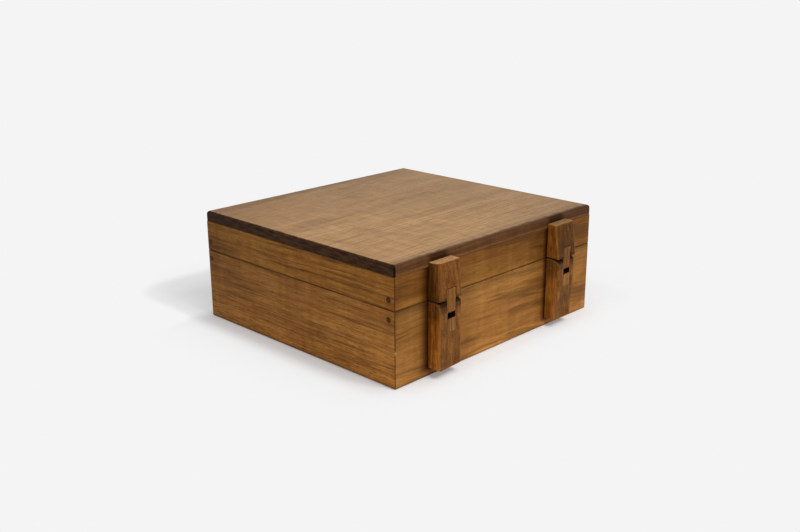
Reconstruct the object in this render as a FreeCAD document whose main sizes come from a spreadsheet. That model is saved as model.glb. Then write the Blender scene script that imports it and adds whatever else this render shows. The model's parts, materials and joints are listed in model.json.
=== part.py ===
import FreeCAD
import Part
import Sketcher
import os
import re

# A hand-made hardwood box. Its lid opens on two carved wooden knuckle hinges with metal pins.
# Millimetres. The origin is the middle of the underside, Z is up, and the hinges are on the +Y side.

SIZES = {
    # Outside of the closed box
    "box_width": 306.0,
    "box_depth": 286.0,
    "box_height": 120.0,
    "base_height": 76.4,
    "seam_gap": 0.4,
    # Boards
    "wall": 12.0,
    "lid_board": 11.0,
    "bottom_board": 6.0,
    "rebate_width": 6.0,
    "board_clearance": 0.2,
    # Worn edges of the boards
    "corner_round": 1.0,
    "edge_chamfer": 0.4,
    "foot_chamfer": 0.8,
    "lid_corner_round": 2.0,
    "lid_round": 3.2,
    # Corner pegs
    "peg_diameter": 5.6,
    "peg_length": 26.0,
    "front_peg_inset": 5.8,
    "back_peg_inset": 8.0,
    "base_peg_drop": 9.2,
    "lid_peg_rise": 9.6,
    "glue_gap": 0.02,
    # Hinge leaves, each pared by eye to its own thickness
    "left_hinge_inset": 62.0,
    "right_hinge_inset": 60.3,
    "leaf_width": 31.6,
    "leaf_foot": 8.2,
    "heel_height": 18.0,
    "leaf_head": 6.4,
    "knuckle_thickness": 15.2,
    "knuckle_skew": 2.2,
    "left_foot_thickness": 11.2,
    "left_shoulder_thickness": 15.0,
    "left_head_thickness": 10.4,
    "right_foot_thickness": 15.2,
    "right_shoulder_thickness": 13.8,
    "right_head_thickness": 11.2,
    # Worn edges of the leaves
    "leaf_chamfer": 0.8,
    "crown_round": 2.4,
    "worn_round": 6.5,
    "worn_shoulder_round": 4.0,
    "worn_heel_round": 2.0,
    # Hinge pins, tongues and slots
    "pin_out": 6.0,
    "pin_drop": 9.8,
    "pin_diameter": 3.0,
    "pin_play": 0.06,
    "tongue_width": 11.6,
    "tongue_thickness": 13.4,
    "left_tongue_shift": 2.2,
    "right_tongue_shift": 1.3,
    "tongue_let_in": 10.5,
    "tongue_round": 3.0,
    "nose_drop": 4.2,
    "nose_slant": 0.8,
    "slot_clearance": 0.3,
    "wall_clearance": 1.0,
    "swing_clearance": 0.9,
    "slot_depth": 22.0,
    # Dowels between the leaves and the box
    "dowel_diameter": 6.0,
    "dowel_depth": 8.0,
    "dowel_margin": 10.0,
    "dowel_spread": 8.0,
}

# Heights and radii that follow from the driving sizes
LID_UNDERSIDE = "(base_height + seam_gap)"
RAIL_TOP = "(box_height - lid_board)"
PIN_HEIGHT = "(base_height - pin_drop)"
PRONG_RADIUS = "(knuckle_thickness - pin_out)"
PRONG_TOP = f"({PIN_HEIGHT} + {PRONG_RADIUS})"
NOSE = f"({PIN_HEIGHT} - nose_drop)"
SWEEP = ("(sqrt((tongue_thickness - pin_out - tongue_round)^2 + (nose_drop - tongue_round)^2)"
         " + tongue_round)")
SLOT_WIDTH = "(tongue_width + 2 * slot_clearance)"
SLOT_FLOOR = f"({PIN_HEIGHT} - {SWEEP} - swing_clearance)"
SLOT_FOOT = f"({PIN_HEIGHT} - slot_depth)"
MORTISE_TOP = f"({LID_UNDERSIDE} + tongue_let_in)"
LEAF_TOP = "(box_height - leaf_head)"
BACK_FACE = "(box_depth / 2)"

# How far a cutting shape runs past the piece that it cuts
OVERRUN = 5.0
TOLERANCE = 1e-4

# How many flat cuts pare a corner round
PARING_CUTS = 4

doc = FreeCAD.newDocument("PeggedBox")
sheet = doc.addObject("Spreadsheet::Sheet", "Sizes")
for row, (alias, size) in enumerate(SIZES.items(), start=1):
    sheet.set(f"A{row}", alias)
    sheet.set(f"B{row}", str(size))
    sheet.setAlias(f"B{row}", alias)
doc.recompute()

sub_parts = []


# Expressions and placements

def sized(text):
    """Point every size named in the text at its cell."""
    return re.sub(r"[a-z_]+", lambda word: f"Sizes.{word[0]}" if word[0] in SIZES else word[0], str(text))


def value(text):
    """The present value of an expression."""
    return float(sheet.evalExpression(sized(text)))


def bind(obj, **expressions):
    """Tie properties of an object to expressions of the sizes."""
    for prop, text in expressions.items():
        obj.setExpression(prop, sized(text))


def place(obj, x=0, y=0, z=0, turn=None):
    """Set an object at a point given by expressions, turned first if asked."""
    if turn:
        obj.Placement = FreeCAD.Placement(FreeCAD.Vector(), turn)
    for axis, text in zip("xyz", (x, y, z)):
        obj.setExpression(f"Placement.Base.{axis}", sized(text))


def named(obj, label):
    """Mark an object as a finished piece of the box."""
    obj.Label = label
    sub_parts.append(obj)
    return obj


# Features of a body

def plane(body, role):
    return next(item for item in body.Origin.OriginFeatures if item.Role == role)


def new_sketch(body, role, name):
    sketch = body.newObject("Sketcher::SketchObject", name)
    sketch.AttachmentSupport = [(plane(body, role), "")]
    sketch.MapMode = "FlatFace"
    return sketch


def hold(sketch, geometry, point, kind, text):
    """Hold one point of a sketch at a distance, given by an expression, from one of the axes."""
    size = value(text)
    if abs(size) < TOLERANCE:
        axis = -2 if kind == "DistanceX" else -1
        sketch.addConstraint(Sketcher.Constraint("PointOnObject", geometry, point, axis))
        return
    index = sketch.addConstraint(Sketcher.Constraint(kind, -1, 1, geometry, point, size))
    sketch.setExpression(f"Constraints[{index}]", sized(text))


def pin_point(sketch, geometry, point, x, y):
    """Hold one point of a sketch at a place given by two expressions."""
    hold(sketch, geometry, point, "DistanceX", x)
    hold(sketch, geometry, point, "DistanceY", y)


def outline(body, role, name, corners):
    """A closed sketch of straight lines through corners given by expressions."""
    sketch = new_sketch(body, role, name)
    points = [FreeCAD.Vector(value(x), value(y), 0) for x, y in corners]
    count = len(points)
    for index, start in enumerate(points):
        sketch.addGeometry(Part.LineSegment(start, points[(index + 1) % count]))
    for index in range(count):
        sketch.addConstraint(Sketcher.Constraint("Coincident", index, 2, (index + 1) % count, 1))
    for index, (x, y) in enumerate(corners):
        pin_point(sketch, index, 1, x, y)
    return sketch


def circles(body, role, name, centres, diameter):
    """A sketch of equal circles at places given by expressions."""
    sketch = new_sketch(body, role, name)
    for x, y in centres:
        middle = FreeCAD.Vector(value(x), value(y), 0)
        index = sketch.addGeometry(Part.Circle(middle, FreeCAD.Vector(0, 0, 1), value(diameter) / 2))
        pin_point(sketch, index, 3, x, y)
        size = sketch.addConstraint(Sketcher.Constraint("Diameter", index, value(diameter)))
        sketch.setExpression(f"Constraints[{size}]", sized(diameter))
    return sketch


def pad(body, sketch, length, side="Symmetric"):
    feature = body.newObject("PartDesign::Pad", "Pad")
    feature.Profile = sketch
    feature.SideType = side
    bind(feature, Length=length)
    doc.recompute()
    return feature


def pocket(body, sketch, depth=None):
    """Cut a sketch right through the body, or to a depth, and make sure that it cut."""
    before = body.Shape.Volume
    feature = body.newObject("PartDesign::Pocket", "Pocket")
    feature.Profile = sketch
    if depth:
        bind(feature, Length=depth)
    else:
        feature.SideType = "Symmetric"
        feature.Type = "ThroughAll"
    doc.recompute()
    if body.Shape.Volume > before - TOLERANCE:
        raise RuntimeError(f"{sketch.Name} cuts nothing")
    return feature


def ease(body, kind, size, chosen):
    """Give a fillet or a chamfer to the edges of the body that a test picks."""
    base = body.Tip
    names = [f"Edge{index}" for index, edge in enumerate(base.Shape.Edges, start=1) if chosen(edge)]
    feature = body.newObject(f"PartDesign::{kind}", kind)
    feature.Base = (base, names)
    bind(feature, **{"Radius" if kind == "Fillet" else "Size": size})
    doc.recompute()
    return feature


def corner_section(body, name, height, x, y, radius):
    """A level sketch of all that lies outside an upright corner, which is pared round in flat cuts."""
    corners = []
    for cut in range(PARING_CUTS + 1):
        turn = f"{90 * cut / PARING_CUTS} deg"
        corners.append((f"{x} - {radius} * (1 - cos({turn}))", f"{y} - {radius} * (1 - sin({turn}))"))
    corners += [(f"{x} - {radius}", f"{y} + {OVERRUN}"), (f"{x} + {OVERRUN}", f"{y} + {OVERRUN}"),
                (f"{x} + {OVERRUN}", f"{y} - {radius}")]
    sketch = outline(body, "XY_Plane", name, corners)
    bind(sketch, **{"AttachmentOffset.Base.z": height})
    return sketch


def wear_corner(body, name, x, sections):
    """Wear an upright corner round, by a radius that changes with the height."""
    before = body.Shape.Volume
    sketches = [corner_section(body, f"{name}_{index}", height, x, y, radius)
                for index, (height, y, radius) in enumerate(sections)]
    feature = body.newObject("PartDesign::SubtractiveLoft", "Loft")
    feature.Profile = sketches[0]
    feature.Sections = sketches[1:]
    feature.Ruled = True
    doc.recompute()
    if body.Shape.Volume > before - TOLERANCE:
        raise RuntimeError(f"{name} cuts nothing")


def near(first, second):
    return abs(first - second) < TOLERANCE


def is_upright(edge):
    box = edge.BoundBox
    return box.ZLength > TOLERANCE and box.XLength < TOLERANCE and box.YLength < TOLERANCE


def is_level_at(edge, height):
    box = edge.BoundBox
    return box.ZLength < TOLERANCE and near(box.ZMin, height)


# Boards

def board(name, width, depth, low, high, corner, foot, head):
    """A level board or block with round corners. Its lower and upper edges are rounded or chamfered."""
    body = doc.addObject("PartDesign::Body", name)
    place(body, z=low)
    half_width = f"({width}) / 2"
    half_depth = f"({depth}) / 2"
    corners = [(f"-{half_width}", f"-{half_depth}"), (half_width, f"-{half_depth}"),
               (half_width, half_depth), (f"-{half_width}", half_depth)]
    sketch = outline(body, "XY_Plane", f"{name}_plan", corners)
    thickness = f"({high}) - ({low})"
    pad(body, sketch, thickness, "One side")
    ease(body, "Fillet", corner, is_upright)
    ease(body, *foot, lambda edge: is_level_at(edge, 0))
    ease(body, *head, lambda edge: is_level_at(edge, value(thickness)))
    return body


def box(name, width, depth, low, high):
    """A plain block, centred on the origin in plan."""
    block = doc.addObject("Part::Box", name)
    bind(block, Length=width, Width=depth, Height=f"({high}) - ({low})")
    place(block, f"-({width}) / 2", f"-({depth}) / 2", low)
    return block


def rod(name, diameter, length, turn, x, y, z):
    """A round bar that starts at a point and runs along the turned Z axis."""
    bar = doc.addObject("Part::Cylinder", name)
    bind(bar, Radius=f"({diameter}) / 2", Height=length)
    place(bar, x, y, z, turn)
    return bar


def group(kind, name, shapes):
    """Several shapes as one object."""
    bundle = doc.addObject(kind, name)
    if kind == "Part::Compound":
        bundle.Links = shapes
    else:
        bundle.Shapes = shapes
    return bundle


def cut(name, base, tool):
    result = doc.addObject("Part::Cut", name)
    result.Base = base
    result.Tool = tool
    return result


# Walls and rails, split from one frame on the mitres

SIDES = {
    "front": ("box_width", "box_depth", 180),
    "back": ("box_width", "box_depth", 0),
    "left": ("box_depth", "box_width", 90),
    "right": ("box_depth", "box_width", -90),
}


def mitre_wedge(name, side, low, high):
    """The share of a frame that belongs to one side, between its two mitre planes."""
    length, across, turn = SIDES[side]
    wedge = doc.addObject("Part::Wedge", name)
    inner = f"{length} / 2 - wall - {OVERRUN}"
    outer = f"{length} / 2 + {OVERRUN}"
    bind(wedge, Ymin=f"{across} / 2 - wall - {OVERRUN}", Ymax=f"{across} / 2 + {OVERRUN}",
         Xmin=f"-({inner})", Xmax=inner, X2min=f"-({outer})", X2max=outer,
         Zmin=f"{low} - {OVERRUN}", Z2min=f"{low} - {OVERRUN}",
         Zmax=f"{high} + {OVERRUN}", Z2max=f"{high} + {OVERRUN}")
    wedge.Placement = FreeCAD.Placement(FreeCAD.Vector(), FreeCAD.Rotation(FreeCAD.Vector(0, 0, 1), turn))
    return wedge


def split_frame(prefix, piece, frame, low, high):
    """Cut a frame into its four mitred sides."""
    for side in SIDES:
        share = doc.addObject("Part::Common", f"{prefix}_{side}")
        share.Base = frame
        share.Tool = mitre_wedge(f"{prefix}_{side}_wedge", side, low, high)
        named(share, f"{prefix}_{side}_{piece}")


TO_THE_LEFT = FreeCAD.Rotation(FreeCAD.Vector(0, 1, 0), -90)
TO_THE_RIGHT = FreeCAD.Rotation(FreeCAD.Vector(0, 1, 0), 90)
TO_THE_BACK = FreeCAD.Rotation(FreeCAD.Vector(1, 0, 0), -90)


def corner_rods(name, diameter, height):
    """Four level bars through the side walls into the ends of the front and back walls."""
    bars = []
    for end, turn in (("-", TO_THE_RIGHT), ("", TO_THE_LEFT)):
        for depth in ("front_peg_inset - box_depth / 2", "box_depth / 2 - back_peg_inset"):
            bars.append(rod(f"{name}_{len(bars)}", diameter, "peg_length", turn,
                            f"{end}box_width / 2", depth, height))
    return bars


HINGE_SIGNS = {"left": "-", "right": ""}


def hinge_place(hand):
    """Where the middle of a hinge lies along the back of the box."""
    return f"{HINGE_SIGNS[hand]}(box_width / 2 - {hand}_hinge_inset)"


def dowel_rods(name, diameter, places):
    """Level bars through the back of the box into both leaves."""
    bars = []
    for hand in HINGE_SIGNS:
        for across, height in places:
            bars.append(rod(f"{name}_{len(bars)}", diameter, "wall + dowel_depth", TO_THE_BACK,
                            f"{hinge_place(hand)} + {across}", f"{BACK_FACE} - wall", height))
    return bars


PEG_HOLE = "peg_diameter + 2 * glue_gap"
DOWEL_HOLE = "dowel_diameter + 2 * glue_gap"
INNER_WIDTH = "box_width - 2 * wall"
INNER_DEPTH = "box_depth - 2 * wall"

BASE_PEG_HEIGHT = "base_height - base_peg_drop"
LID_PEG_HEIGHT = f"{LID_UNDERSIDE} + lid_peg_rise"
LOWER_DOWELS = [("0", "leaf_foot + dowel_margin"), ("0", f"{SLOT_FOOT} - dowel_margin")]
UPPER_DOWEL_HEIGHT = f"({MORTISE_TOP} + {RAIL_TOP}) / 2"
UPPER_DOWELS = [("-dowel_spread", UPPER_DOWEL_HEIGHT), ("dowel_spread", UPPER_DOWEL_HEIGHT)]

EASED_EDGE = ("Chamfer", "edge_chamfer")
EASED_FOOT = ("Chamfer", "foot_chamfer")
WORN_TOP = ("Fillet", "lid_round")


def make_base():
    """Four mitred walls, the bottom board in its rebate, and the corner pegs."""
    block = board("base_block", "box_width", "box_depth", "0", "base_height",
                  "corner_round", EASED_FOOT, EASED_EDGE)
    rebate_width = f"{INNER_WIDTH} + 2 * rebate_width"
    rebate_depth = f"{INNER_DEPTH} + 2 * rebate_width"
    hollow = [box("base_hollow", INNER_WIDTH, INNER_DEPTH, f"-{OVERRUN}", f"base_height + {OVERRUN}"),
              box("base_rebate", rebate_width, rebate_depth, f"-{OVERRUN}", "bottom_board")]
    hollow += corner_rods("base_peg_hole", PEG_HOLE, BASE_PEG_HEIGHT)
    hollow += dowel_rods("lower_dowel_hole", DOWEL_HOLE, LOWER_DOWELS)
    frame = cut("base_frame", block, group("Part::MultiFuse", "base_cuts", hollow))
    split_frame("base", "wall", frame, "0", "base_height")
    named(box("bottom_board_block", f"{rebate_width} - 2 * board_clearance",
              f"{rebate_depth} - 2 * board_clearance", "0", "bottom_board"), "base_bottom_board")
    pegs = corner_rods("base_peg", "peg_diameter", BASE_PEG_HEIGHT)
    named(group("Part::Compound", "base_pegs", pegs), "base_corner_pegs")
    dowels = dowel_rods("lower_dowel", "dowel_diameter", LOWER_DOWELS)
    named(group("Part::Compound", "lower_dowels", dowels), "lower_leaf_dowels")


def make_lid():
    """Four mitred rails, the top board that lies on them, and the corner pegs."""
    block = board("lid_block", "box_width", "box_depth", LID_UNDERSIDE, RAIL_TOP,
                  "corner_round", EASED_EDGE, EASED_EDGE)
    hollow = [box("lid_hollow", INNER_WIDTH, INNER_DEPTH, f"{LID_UNDERSIDE} - {OVERRUN}",
                  f"{RAIL_TOP} + {OVERRUN}")]
    hollow += corner_rods("lid_peg_hole", PEG_HOLE, LID_PEG_HEIGHT)
    hollow += dowel_rods("upper_dowel_hole", DOWEL_HOLE, UPPER_DOWELS)
    frame = cut("lid_frame", block, group("Part::MultiFuse", "lid_cuts", hollow))
    split_frame("lid", "rail", frame, LID_UNDERSIDE, RAIL_TOP)
    named(board("top_board", "box_width", "box_depth", RAIL_TOP, "box_height",
                "lid_corner_round", EASED_EDGE, WORN_TOP), "lid_top_board")
    pegs = corner_rods("lid_peg", "peg_diameter", LID_PEG_HEIGHT)
    named(group("Part::Compound", "lid_pegs", pegs), "lid_corner_pegs")
    dowels = dowel_rods("upper_dowel", "dowel_diameter", UPPER_DOWELS)
    named(group("Part::Compound", "upper_dowels", dowels), "upper_leaf_dowels")


# Knuckle hinges. In a hinge body X runs along the pin, Y stands out from the back of the box.

PIN_HOLE = "pin_diameter + 2 * glue_gap"
TONGUE_BORE = "pin_diameter + 2 * pin_play"
HALF_LEAF = "(leaf_width / 2)"


def hinge_body(name, hand, shift="0"):
    body = doc.addObject("PartDesign::Body", name)
    place(body, f"{hinge_place(hand)} - {shift}", BACK_FACE, 0)
    return body


def lower_front(hand, height):
    """How far the front of a lower leaf stands out between its heel and the floor of its slot."""
    heel = f"{hand}_foot_thickness"
    slope = f"(knuckle_thickness - {heel}) / ({SLOT_FLOOR} - heel_height)"
    return f"({heel} + {slope} * ({height} - heel_height))"


def upper_front(hand, height):
    """How far the sloping front of an upper leaf stands out at a height."""
    shoulder = f"{hand}_shoulder_thickness"
    slope = f"({hand}_head_thickness - {shoulder}) / ({LEAF_TOP} - {LID_UNDERSIDE})"
    return f"({shoulder} + {slope} * ({height} - {LID_UNDERSIDE}))"


def drill_pin(body, name, diameter):
    pocket(body, circles(body, "YZ_Plane", name, [("pin_out", PIN_HEIGHT)], diameter))


def drill_dowels(body, name, places):
    pocket(body, circles(body, "XZ_Plane", name, places, DOWEL_HOLE), depth="dowel_depth")


def cut_slot(body, hand, name, low, high):
    left = f"-{hand}_tongue_shift - {SLOT_WIDTH} / 2"
    right = f"-{hand}_tongue_shift + {SLOT_WIDTH} / 2"
    pocket(body, outline(body, "XZ_Plane", name, [(left, low), (right, low), (right, high), (left, high)]))


def skew_front(body, name, shift="0"):
    """Pare the front of the knuckle, so that it falls off towards the leaf's left edge."""
    right = f"{HALF_LEAF} + {shift}"
    left = f"{shift} - {HALF_LEAF}"
    beyond = f"knuckle_thickness + {OVERRUN}"
    corners = [(right, "knuckle_thickness"), (right, beyond), (left, beyond),
               (left, "knuckle_thickness - knuckle_skew")]
    pocket(body, outline(body, "XY_Plane", name, corners))


def on_flank(edge, side):
    """An edge of a leaf's side face that does not lie against the box."""
    bounds = edge.BoundBox
    half = side * value(HALF_LEAF)
    return near(bounds.XMin, half) and near(bounds.XMax, half) and bounds.YMax > TOLERANCE


def make_lower_leaf(hand, worn):
    """The leaf on the base. Two prongs, rounded over about the pin, leave a slot for the tongue."""
    body = hinge_body(f"{hand}_lower", hand)
    foot = f"{hand}_foot_thickness"
    side = outline(body, "YZ_Plane", f"{hand}_lower_side", [
        ("0", "leaf_foot"), (foot, "leaf_foot"), (foot, "heel_height"), ("knuckle_thickness", SLOT_FLOOR),
        ("knuckle_thickness", PRONG_TOP), ("0", PRONG_TOP)])
    pad(body, side, "leaf_width")
    ease(body, "Fillet", PRONG_RADIUS,
         lambda edge: near(edge.BoundBox.ZMin, value(PRONG_TOP)) and edge.BoundBox.YMin > TOLERANCE
         and edge.BoundBox.XLength > TOLERANCE)
    ease(body, "Chamfer", "leaf_chamfer",
         lambda edge: on_flank(edge, -1) or on_flank(edge, 1) and not worn)
    if worn:
        wear_corner(body, f"{hand}_lower_wear", HALF_LEAF, [
            (f"{PRONG_TOP} + {OVERRUN}", "knuckle_thickness", "worn_round"),
            (SLOT_FLOOR, "knuckle_thickness", "worn_round"),
            ("heel_height", foot, "worn_heel_round"),
            (f"leaf_foot - {OVERRUN}", foot, "worn_heel_round")])
    skew_front(body, f"{hand}_lower_skew")
    cut_slot(body, hand, f"{hand}_lower_slot", SLOT_FOOT, f"base_height + {OVERRUN}")
    drill_pin(body, f"{hand}_lower_pin_hole", PIN_HOLE)
    drill_dowels(body, f"{hand}_lower_dowel_holes", LOWER_DOWELS)
    named(body, f"{hand}_lower_leaf")


def make_upper_leaf(hand, worn):
    """The leaf on the lid, mortised for the tongue. Its front slopes back towards the top."""
    body = hinge_body(f"{hand}_upper", hand)
    shoulder = f"{hand}_shoulder_thickness"
    head = f"{hand}_head_thickness"
    side = outline(body, "YZ_Plane", f"{hand}_upper_side", [
        ("0", LID_UNDERSIDE), (shoulder, LID_UNDERSIDE), (head, LEAF_TOP), ("0", LEAF_TOP)])
    pad(body, side, "leaf_width")
    if worn:
        wear_corner(body, f"{hand}_upper_wear", HALF_LEAF, [
            (LID_UNDERSIDE, shoulder, "worn_shoulder_round"), (LEAF_TOP, head, "worn_round")])
    else:
        ease(body, "Fillet", "crown_round",
             lambda edge: is_level_at(edge, value(LEAF_TOP)) and edge.BoundBox.YMin > TOLERANCE)
    ease(body, "Chamfer", "leaf_chamfer",
         lambda edge: on_flank(edge, -1) or on_flank(edge, 1) and not worn)
    cut_slot(body, hand, f"{hand}_upper_mortise", f"{LID_UNDERSIDE} - {OVERRUN}", MORTISE_TOP)
    drill_dowels(body, f"{hand}_upper_dowel_holes", UPPER_DOWELS)
    named(body, f"{hand}_upper_leaf")


def pare_cheek(body, name, flank):
    """Pare one cheek of the tongue below the lid, so that it runs free between the prongs."""
    slim = f"{flank} * tongue_width / 2"
    far = f"{flank} * ({SLOT_WIDTH} / 2 + {OVERRUN})"
    low = f"{NOSE} - {OVERRUN}"
    corners = [(slim, low), (far, low), (far, LID_UNDERSIDE), (slim, LID_UNDERSIDE)]
    pocket(body, outline(body, "XZ_Plane", name, corners))


def make_tongue(hand):
    """The slip glued into the upper leaf's mortise, with a round nose that turns on the pin."""
    body = hinge_body(f"{hand}_tongue", hand, f"{hand}_tongue_shift")
    side = outline(body, "YZ_Plane", f"{hand}_tongue_side", [
        ("wall_clearance", NOSE), ("tongue_thickness", NOSE), ("tongue_thickness", LID_UNDERSIDE),
        (upper_front(hand, MORTISE_TOP), MORTISE_TOP), ("wall_clearance", MORTISE_TOP)])
    pad(body, side, SLOT_WIDTH)
    for depth, radius in (("wall_clearance", "nose_drop"), ("tongue_thickness", "tongue_round")):
        ease(body, "Fillet", radius, lambda edge: near(edge.BoundBox.ZMax, value(NOSE))
             and near(edge.BoundBox.YMin, value(depth)) and near(edge.BoundBox.YMax, value(depth)))
    drill_pin(body, f"{hand}_tongue_bore", TONGUE_BORE)
    for flank in (-1, 1):
        pare_cheek(body, f"{hand}_tongue_cheek", flank)
    slant = [("tongue_width / 2", NOSE), ("-tongue_width / 2", f"{NOSE} + nose_slant"),
             ("-tongue_width / 2", f"{NOSE} - {OVERRUN}"), ("tongue_width / 2", f"{NOSE} - {OVERRUN}")]
    pocket(body, outline(body, "XZ_Plane", f"{hand}_tongue_slant", slant))
    named(body, f"{hand}_hinge_tongue")


def make_slot_block(hand):
    """The block glued into the foot of the slot, which leaves the tongue room to swing."""
    body = hinge_body(f"{hand}_block", hand, f"{hand}_tongue_shift")
    side = outline(body, "YZ_Plane", f"{hand}_block_side", [
        ("0", SLOT_FOOT), (lower_front(hand, SLOT_FOOT), SLOT_FOOT), ("knuckle_thickness", SLOT_FLOOR),
        ("0", SLOT_FLOOR)])
    pad(body, side, SLOT_WIDTH)
    skew_front(body, f"{hand}_block_skew", f"{hand}_tongue_shift")
    named(body, f"{hand}_slot_block")


def make_pin(hand):
    pin = rod(f"{hand}_pin", "pin_diameter", "leaf_width", TO_THE_RIGHT,
              f"{hinge_place(hand)} - {HALF_LEAF}", f"{BACK_FACE} + pin_out", PIN_HEIGHT)
    named(pin, f"{hand}_hinge_pin")


def make_hinges():
    """Two hinges alike but for their thickness, and for the leaf whose right front corner is worn round."""
    for hand, worn in (("left", "lower"), ("right", "upper")):
        make_lower_leaf(hand, worn == "lower")
        make_upper_leaf(hand, worn == "upper")
        make_tongue(hand)
        make_slot_block(hand)
        make_pin(hand)


# Build, check and write

def check_document():
    for obj in doc.Objects:
        if "Invalid" in obj.State or "Error" in obj.State:
            raise RuntimeError(f"{obj.Name} failed: {obj.State}")
    for part in sub_parts:
        if part.Shape.isNull() or not part.Shape.isValid() or not part.Shape.Solids:
            raise RuntimeError(f"{part.Label} has no valid solid")


def write_parts():
    os.makedirs("parts", exist_ok=True)
    for part in sub_parts:
        part.Shape.exportStep(f"parts/{part.Label}.step")
        print(part.Label, len(part.Shape.Solids), "solids", round(part.Shape.Volume), "mm3")


make_base()
make_lid()
make_hinges()
doc.recompute()
check_document()
write_parts()
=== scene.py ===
# %% [markdown]
# # A hardwood box with wooden knuckle hinges
# The real box is a few oiled boards: four mitred walls round a bottom, a lid frame sawn from the same
# boards, a flat top, and two hinges that are wood all through but for the pin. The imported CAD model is
# the frame, with every board at its place and size in metres, so nothing here has to be fitted.

# %% Load the frame
import json
import math
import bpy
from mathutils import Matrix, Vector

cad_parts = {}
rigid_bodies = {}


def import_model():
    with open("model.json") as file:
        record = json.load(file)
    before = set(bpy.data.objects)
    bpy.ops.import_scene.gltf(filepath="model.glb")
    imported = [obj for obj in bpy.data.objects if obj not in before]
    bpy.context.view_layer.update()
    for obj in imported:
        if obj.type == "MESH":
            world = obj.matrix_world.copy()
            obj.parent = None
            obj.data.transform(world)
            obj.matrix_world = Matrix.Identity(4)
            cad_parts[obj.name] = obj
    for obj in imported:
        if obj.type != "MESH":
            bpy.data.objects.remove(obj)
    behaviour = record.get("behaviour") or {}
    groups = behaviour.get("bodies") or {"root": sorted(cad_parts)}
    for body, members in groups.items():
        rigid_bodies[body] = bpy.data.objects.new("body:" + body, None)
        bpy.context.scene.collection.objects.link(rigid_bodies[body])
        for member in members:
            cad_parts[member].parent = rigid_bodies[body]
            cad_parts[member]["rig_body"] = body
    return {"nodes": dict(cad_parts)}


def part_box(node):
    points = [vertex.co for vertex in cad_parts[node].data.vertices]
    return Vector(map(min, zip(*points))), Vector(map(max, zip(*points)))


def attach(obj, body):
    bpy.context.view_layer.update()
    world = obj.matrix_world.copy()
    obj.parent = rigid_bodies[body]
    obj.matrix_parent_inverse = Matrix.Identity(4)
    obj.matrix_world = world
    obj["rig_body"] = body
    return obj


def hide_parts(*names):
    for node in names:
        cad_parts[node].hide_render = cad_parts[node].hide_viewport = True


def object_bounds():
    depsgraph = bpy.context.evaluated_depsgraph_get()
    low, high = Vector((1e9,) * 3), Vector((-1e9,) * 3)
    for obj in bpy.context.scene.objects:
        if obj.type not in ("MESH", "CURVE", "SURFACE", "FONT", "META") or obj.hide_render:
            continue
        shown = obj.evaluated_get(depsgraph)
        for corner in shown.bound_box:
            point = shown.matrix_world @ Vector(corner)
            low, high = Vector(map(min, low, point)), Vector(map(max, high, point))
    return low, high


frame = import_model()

from types import SimpleNamespace

import bmesh
import bpy
from mathutils import Matrix, Vector, noise as soft_noise

scene = bpy.context.scene
cad_low, cad_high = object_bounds()
box_height = cad_high.z
print("pieces:", len(frame["nodes"]), "low corner:", cad_low[:], "high corner:", cad_high[:])

# %% [markdown]
# ## The camera
# A camera could be placed by eye, but a lens is matched best by the way parallel edges close up. The box
# stands three quarters on, with its hinge side to the right, and the camera looks down on it a little.
# The focal length is a count of pixels across the picture, which the 36 mm sensor turns into millimetres.

# %% Camera
PICTURE_WIDTH = 800
FOCAL_PIXELS = 977.8
SENSOR_WIDTH = 36.0
FAR_CLIP = 100.0
VIEW_AZIMUTH = math.radians(134.42)
VIEW_ELEVATION = math.radians(17.75)
VIEW_ROLL = math.radians(-0.29)
VIEW_DISTANCE = 9.022 * box_height
AIM_UP = -0.0535 * box_height


def direction(azimuth, elevation):
    """Unit vector from the box towards a place, azimuth 0 being in front and 90 on the right side."""
    level = math.cos(elevation)
    return Vector((math.sin(azimuth) * level, -math.cos(azimuth) * level, math.sin(elevation)))


back = direction(VIEW_AZIMUTH, VIEW_ELEVATION)
right = Vector((math.cos(VIEW_AZIMUTH), math.sin(VIEW_AZIMUTH), 0.0))
up = back.cross(right)
right, up = (
    right * math.cos(VIEW_ROLL) + up * math.sin(VIEW_ROLL),
    up * math.cos(VIEW_ROLL) - right * math.sin(VIEW_ROLL),
)
aim = Vector((0.0, 0.0, box_height / 2)) + up * AIM_UP

camera_data = bpy.data.cameras.new("camera")
camera_data.sensor_width = SENSOR_WIDTH
camera_data.lens = FOCAL_PIXELS * SENSOR_WIDTH / PICTURE_WIDTH
camera_data.clip_end = FAR_CLIP
camera = bpy.data.objects.new("camera", camera_data)
scene.collection.objects.link(camera)
turned = Matrix((right, up, back)).transposed().to_4x4()
camera.matrix_world = Matrix.Translation(aim + back * VIEW_DISTANCE) @ turned
scene.camera = camera
print("lens:", round(camera_data.lens, 2), "mm, distance:", round(VIEW_DISTANCE, 3), "m")

# %% [markdown]
# ## Wiring nodes
# Every finish below is a small graph of shader nodes. Each node takes several lines when it is wired by
# hand, so a few helpers keep the graphs readable: they add a node and feed it, reckon with values and
# places, and carry a value smoothly from one range to another.

# %% Nodes and arithmetic
SINGLE_RESULTS = "LENGTH", "DISTANCE", "DOT_PRODUCT"


def add_node(tree, kind, feed, **settings):
    """Add one node. A fed socket is linked to its input, and any other value is set on it."""
    made = tree.nodes.new(kind)
    for key, setting in settings.items():
        setattr(made, key, setting)
    for slot, value in feed.items():
        if isinstance(value, bpy.types.NodeSocket):
            tree.links.new(value, made.inputs[slot])
        else:
            made.inputs[slot].default_value = value
    return made


def put(tree, kind, feed, **settings):
    """Add one shader node."""
    return add_node(tree, "ShaderNode" + kind, feed, **settings)


def calc(tree, operation, *values):
    """One step of arithmetic."""
    return put(tree, "Math", dict(enumerate(values)), operation=operation).outputs[0]


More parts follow.
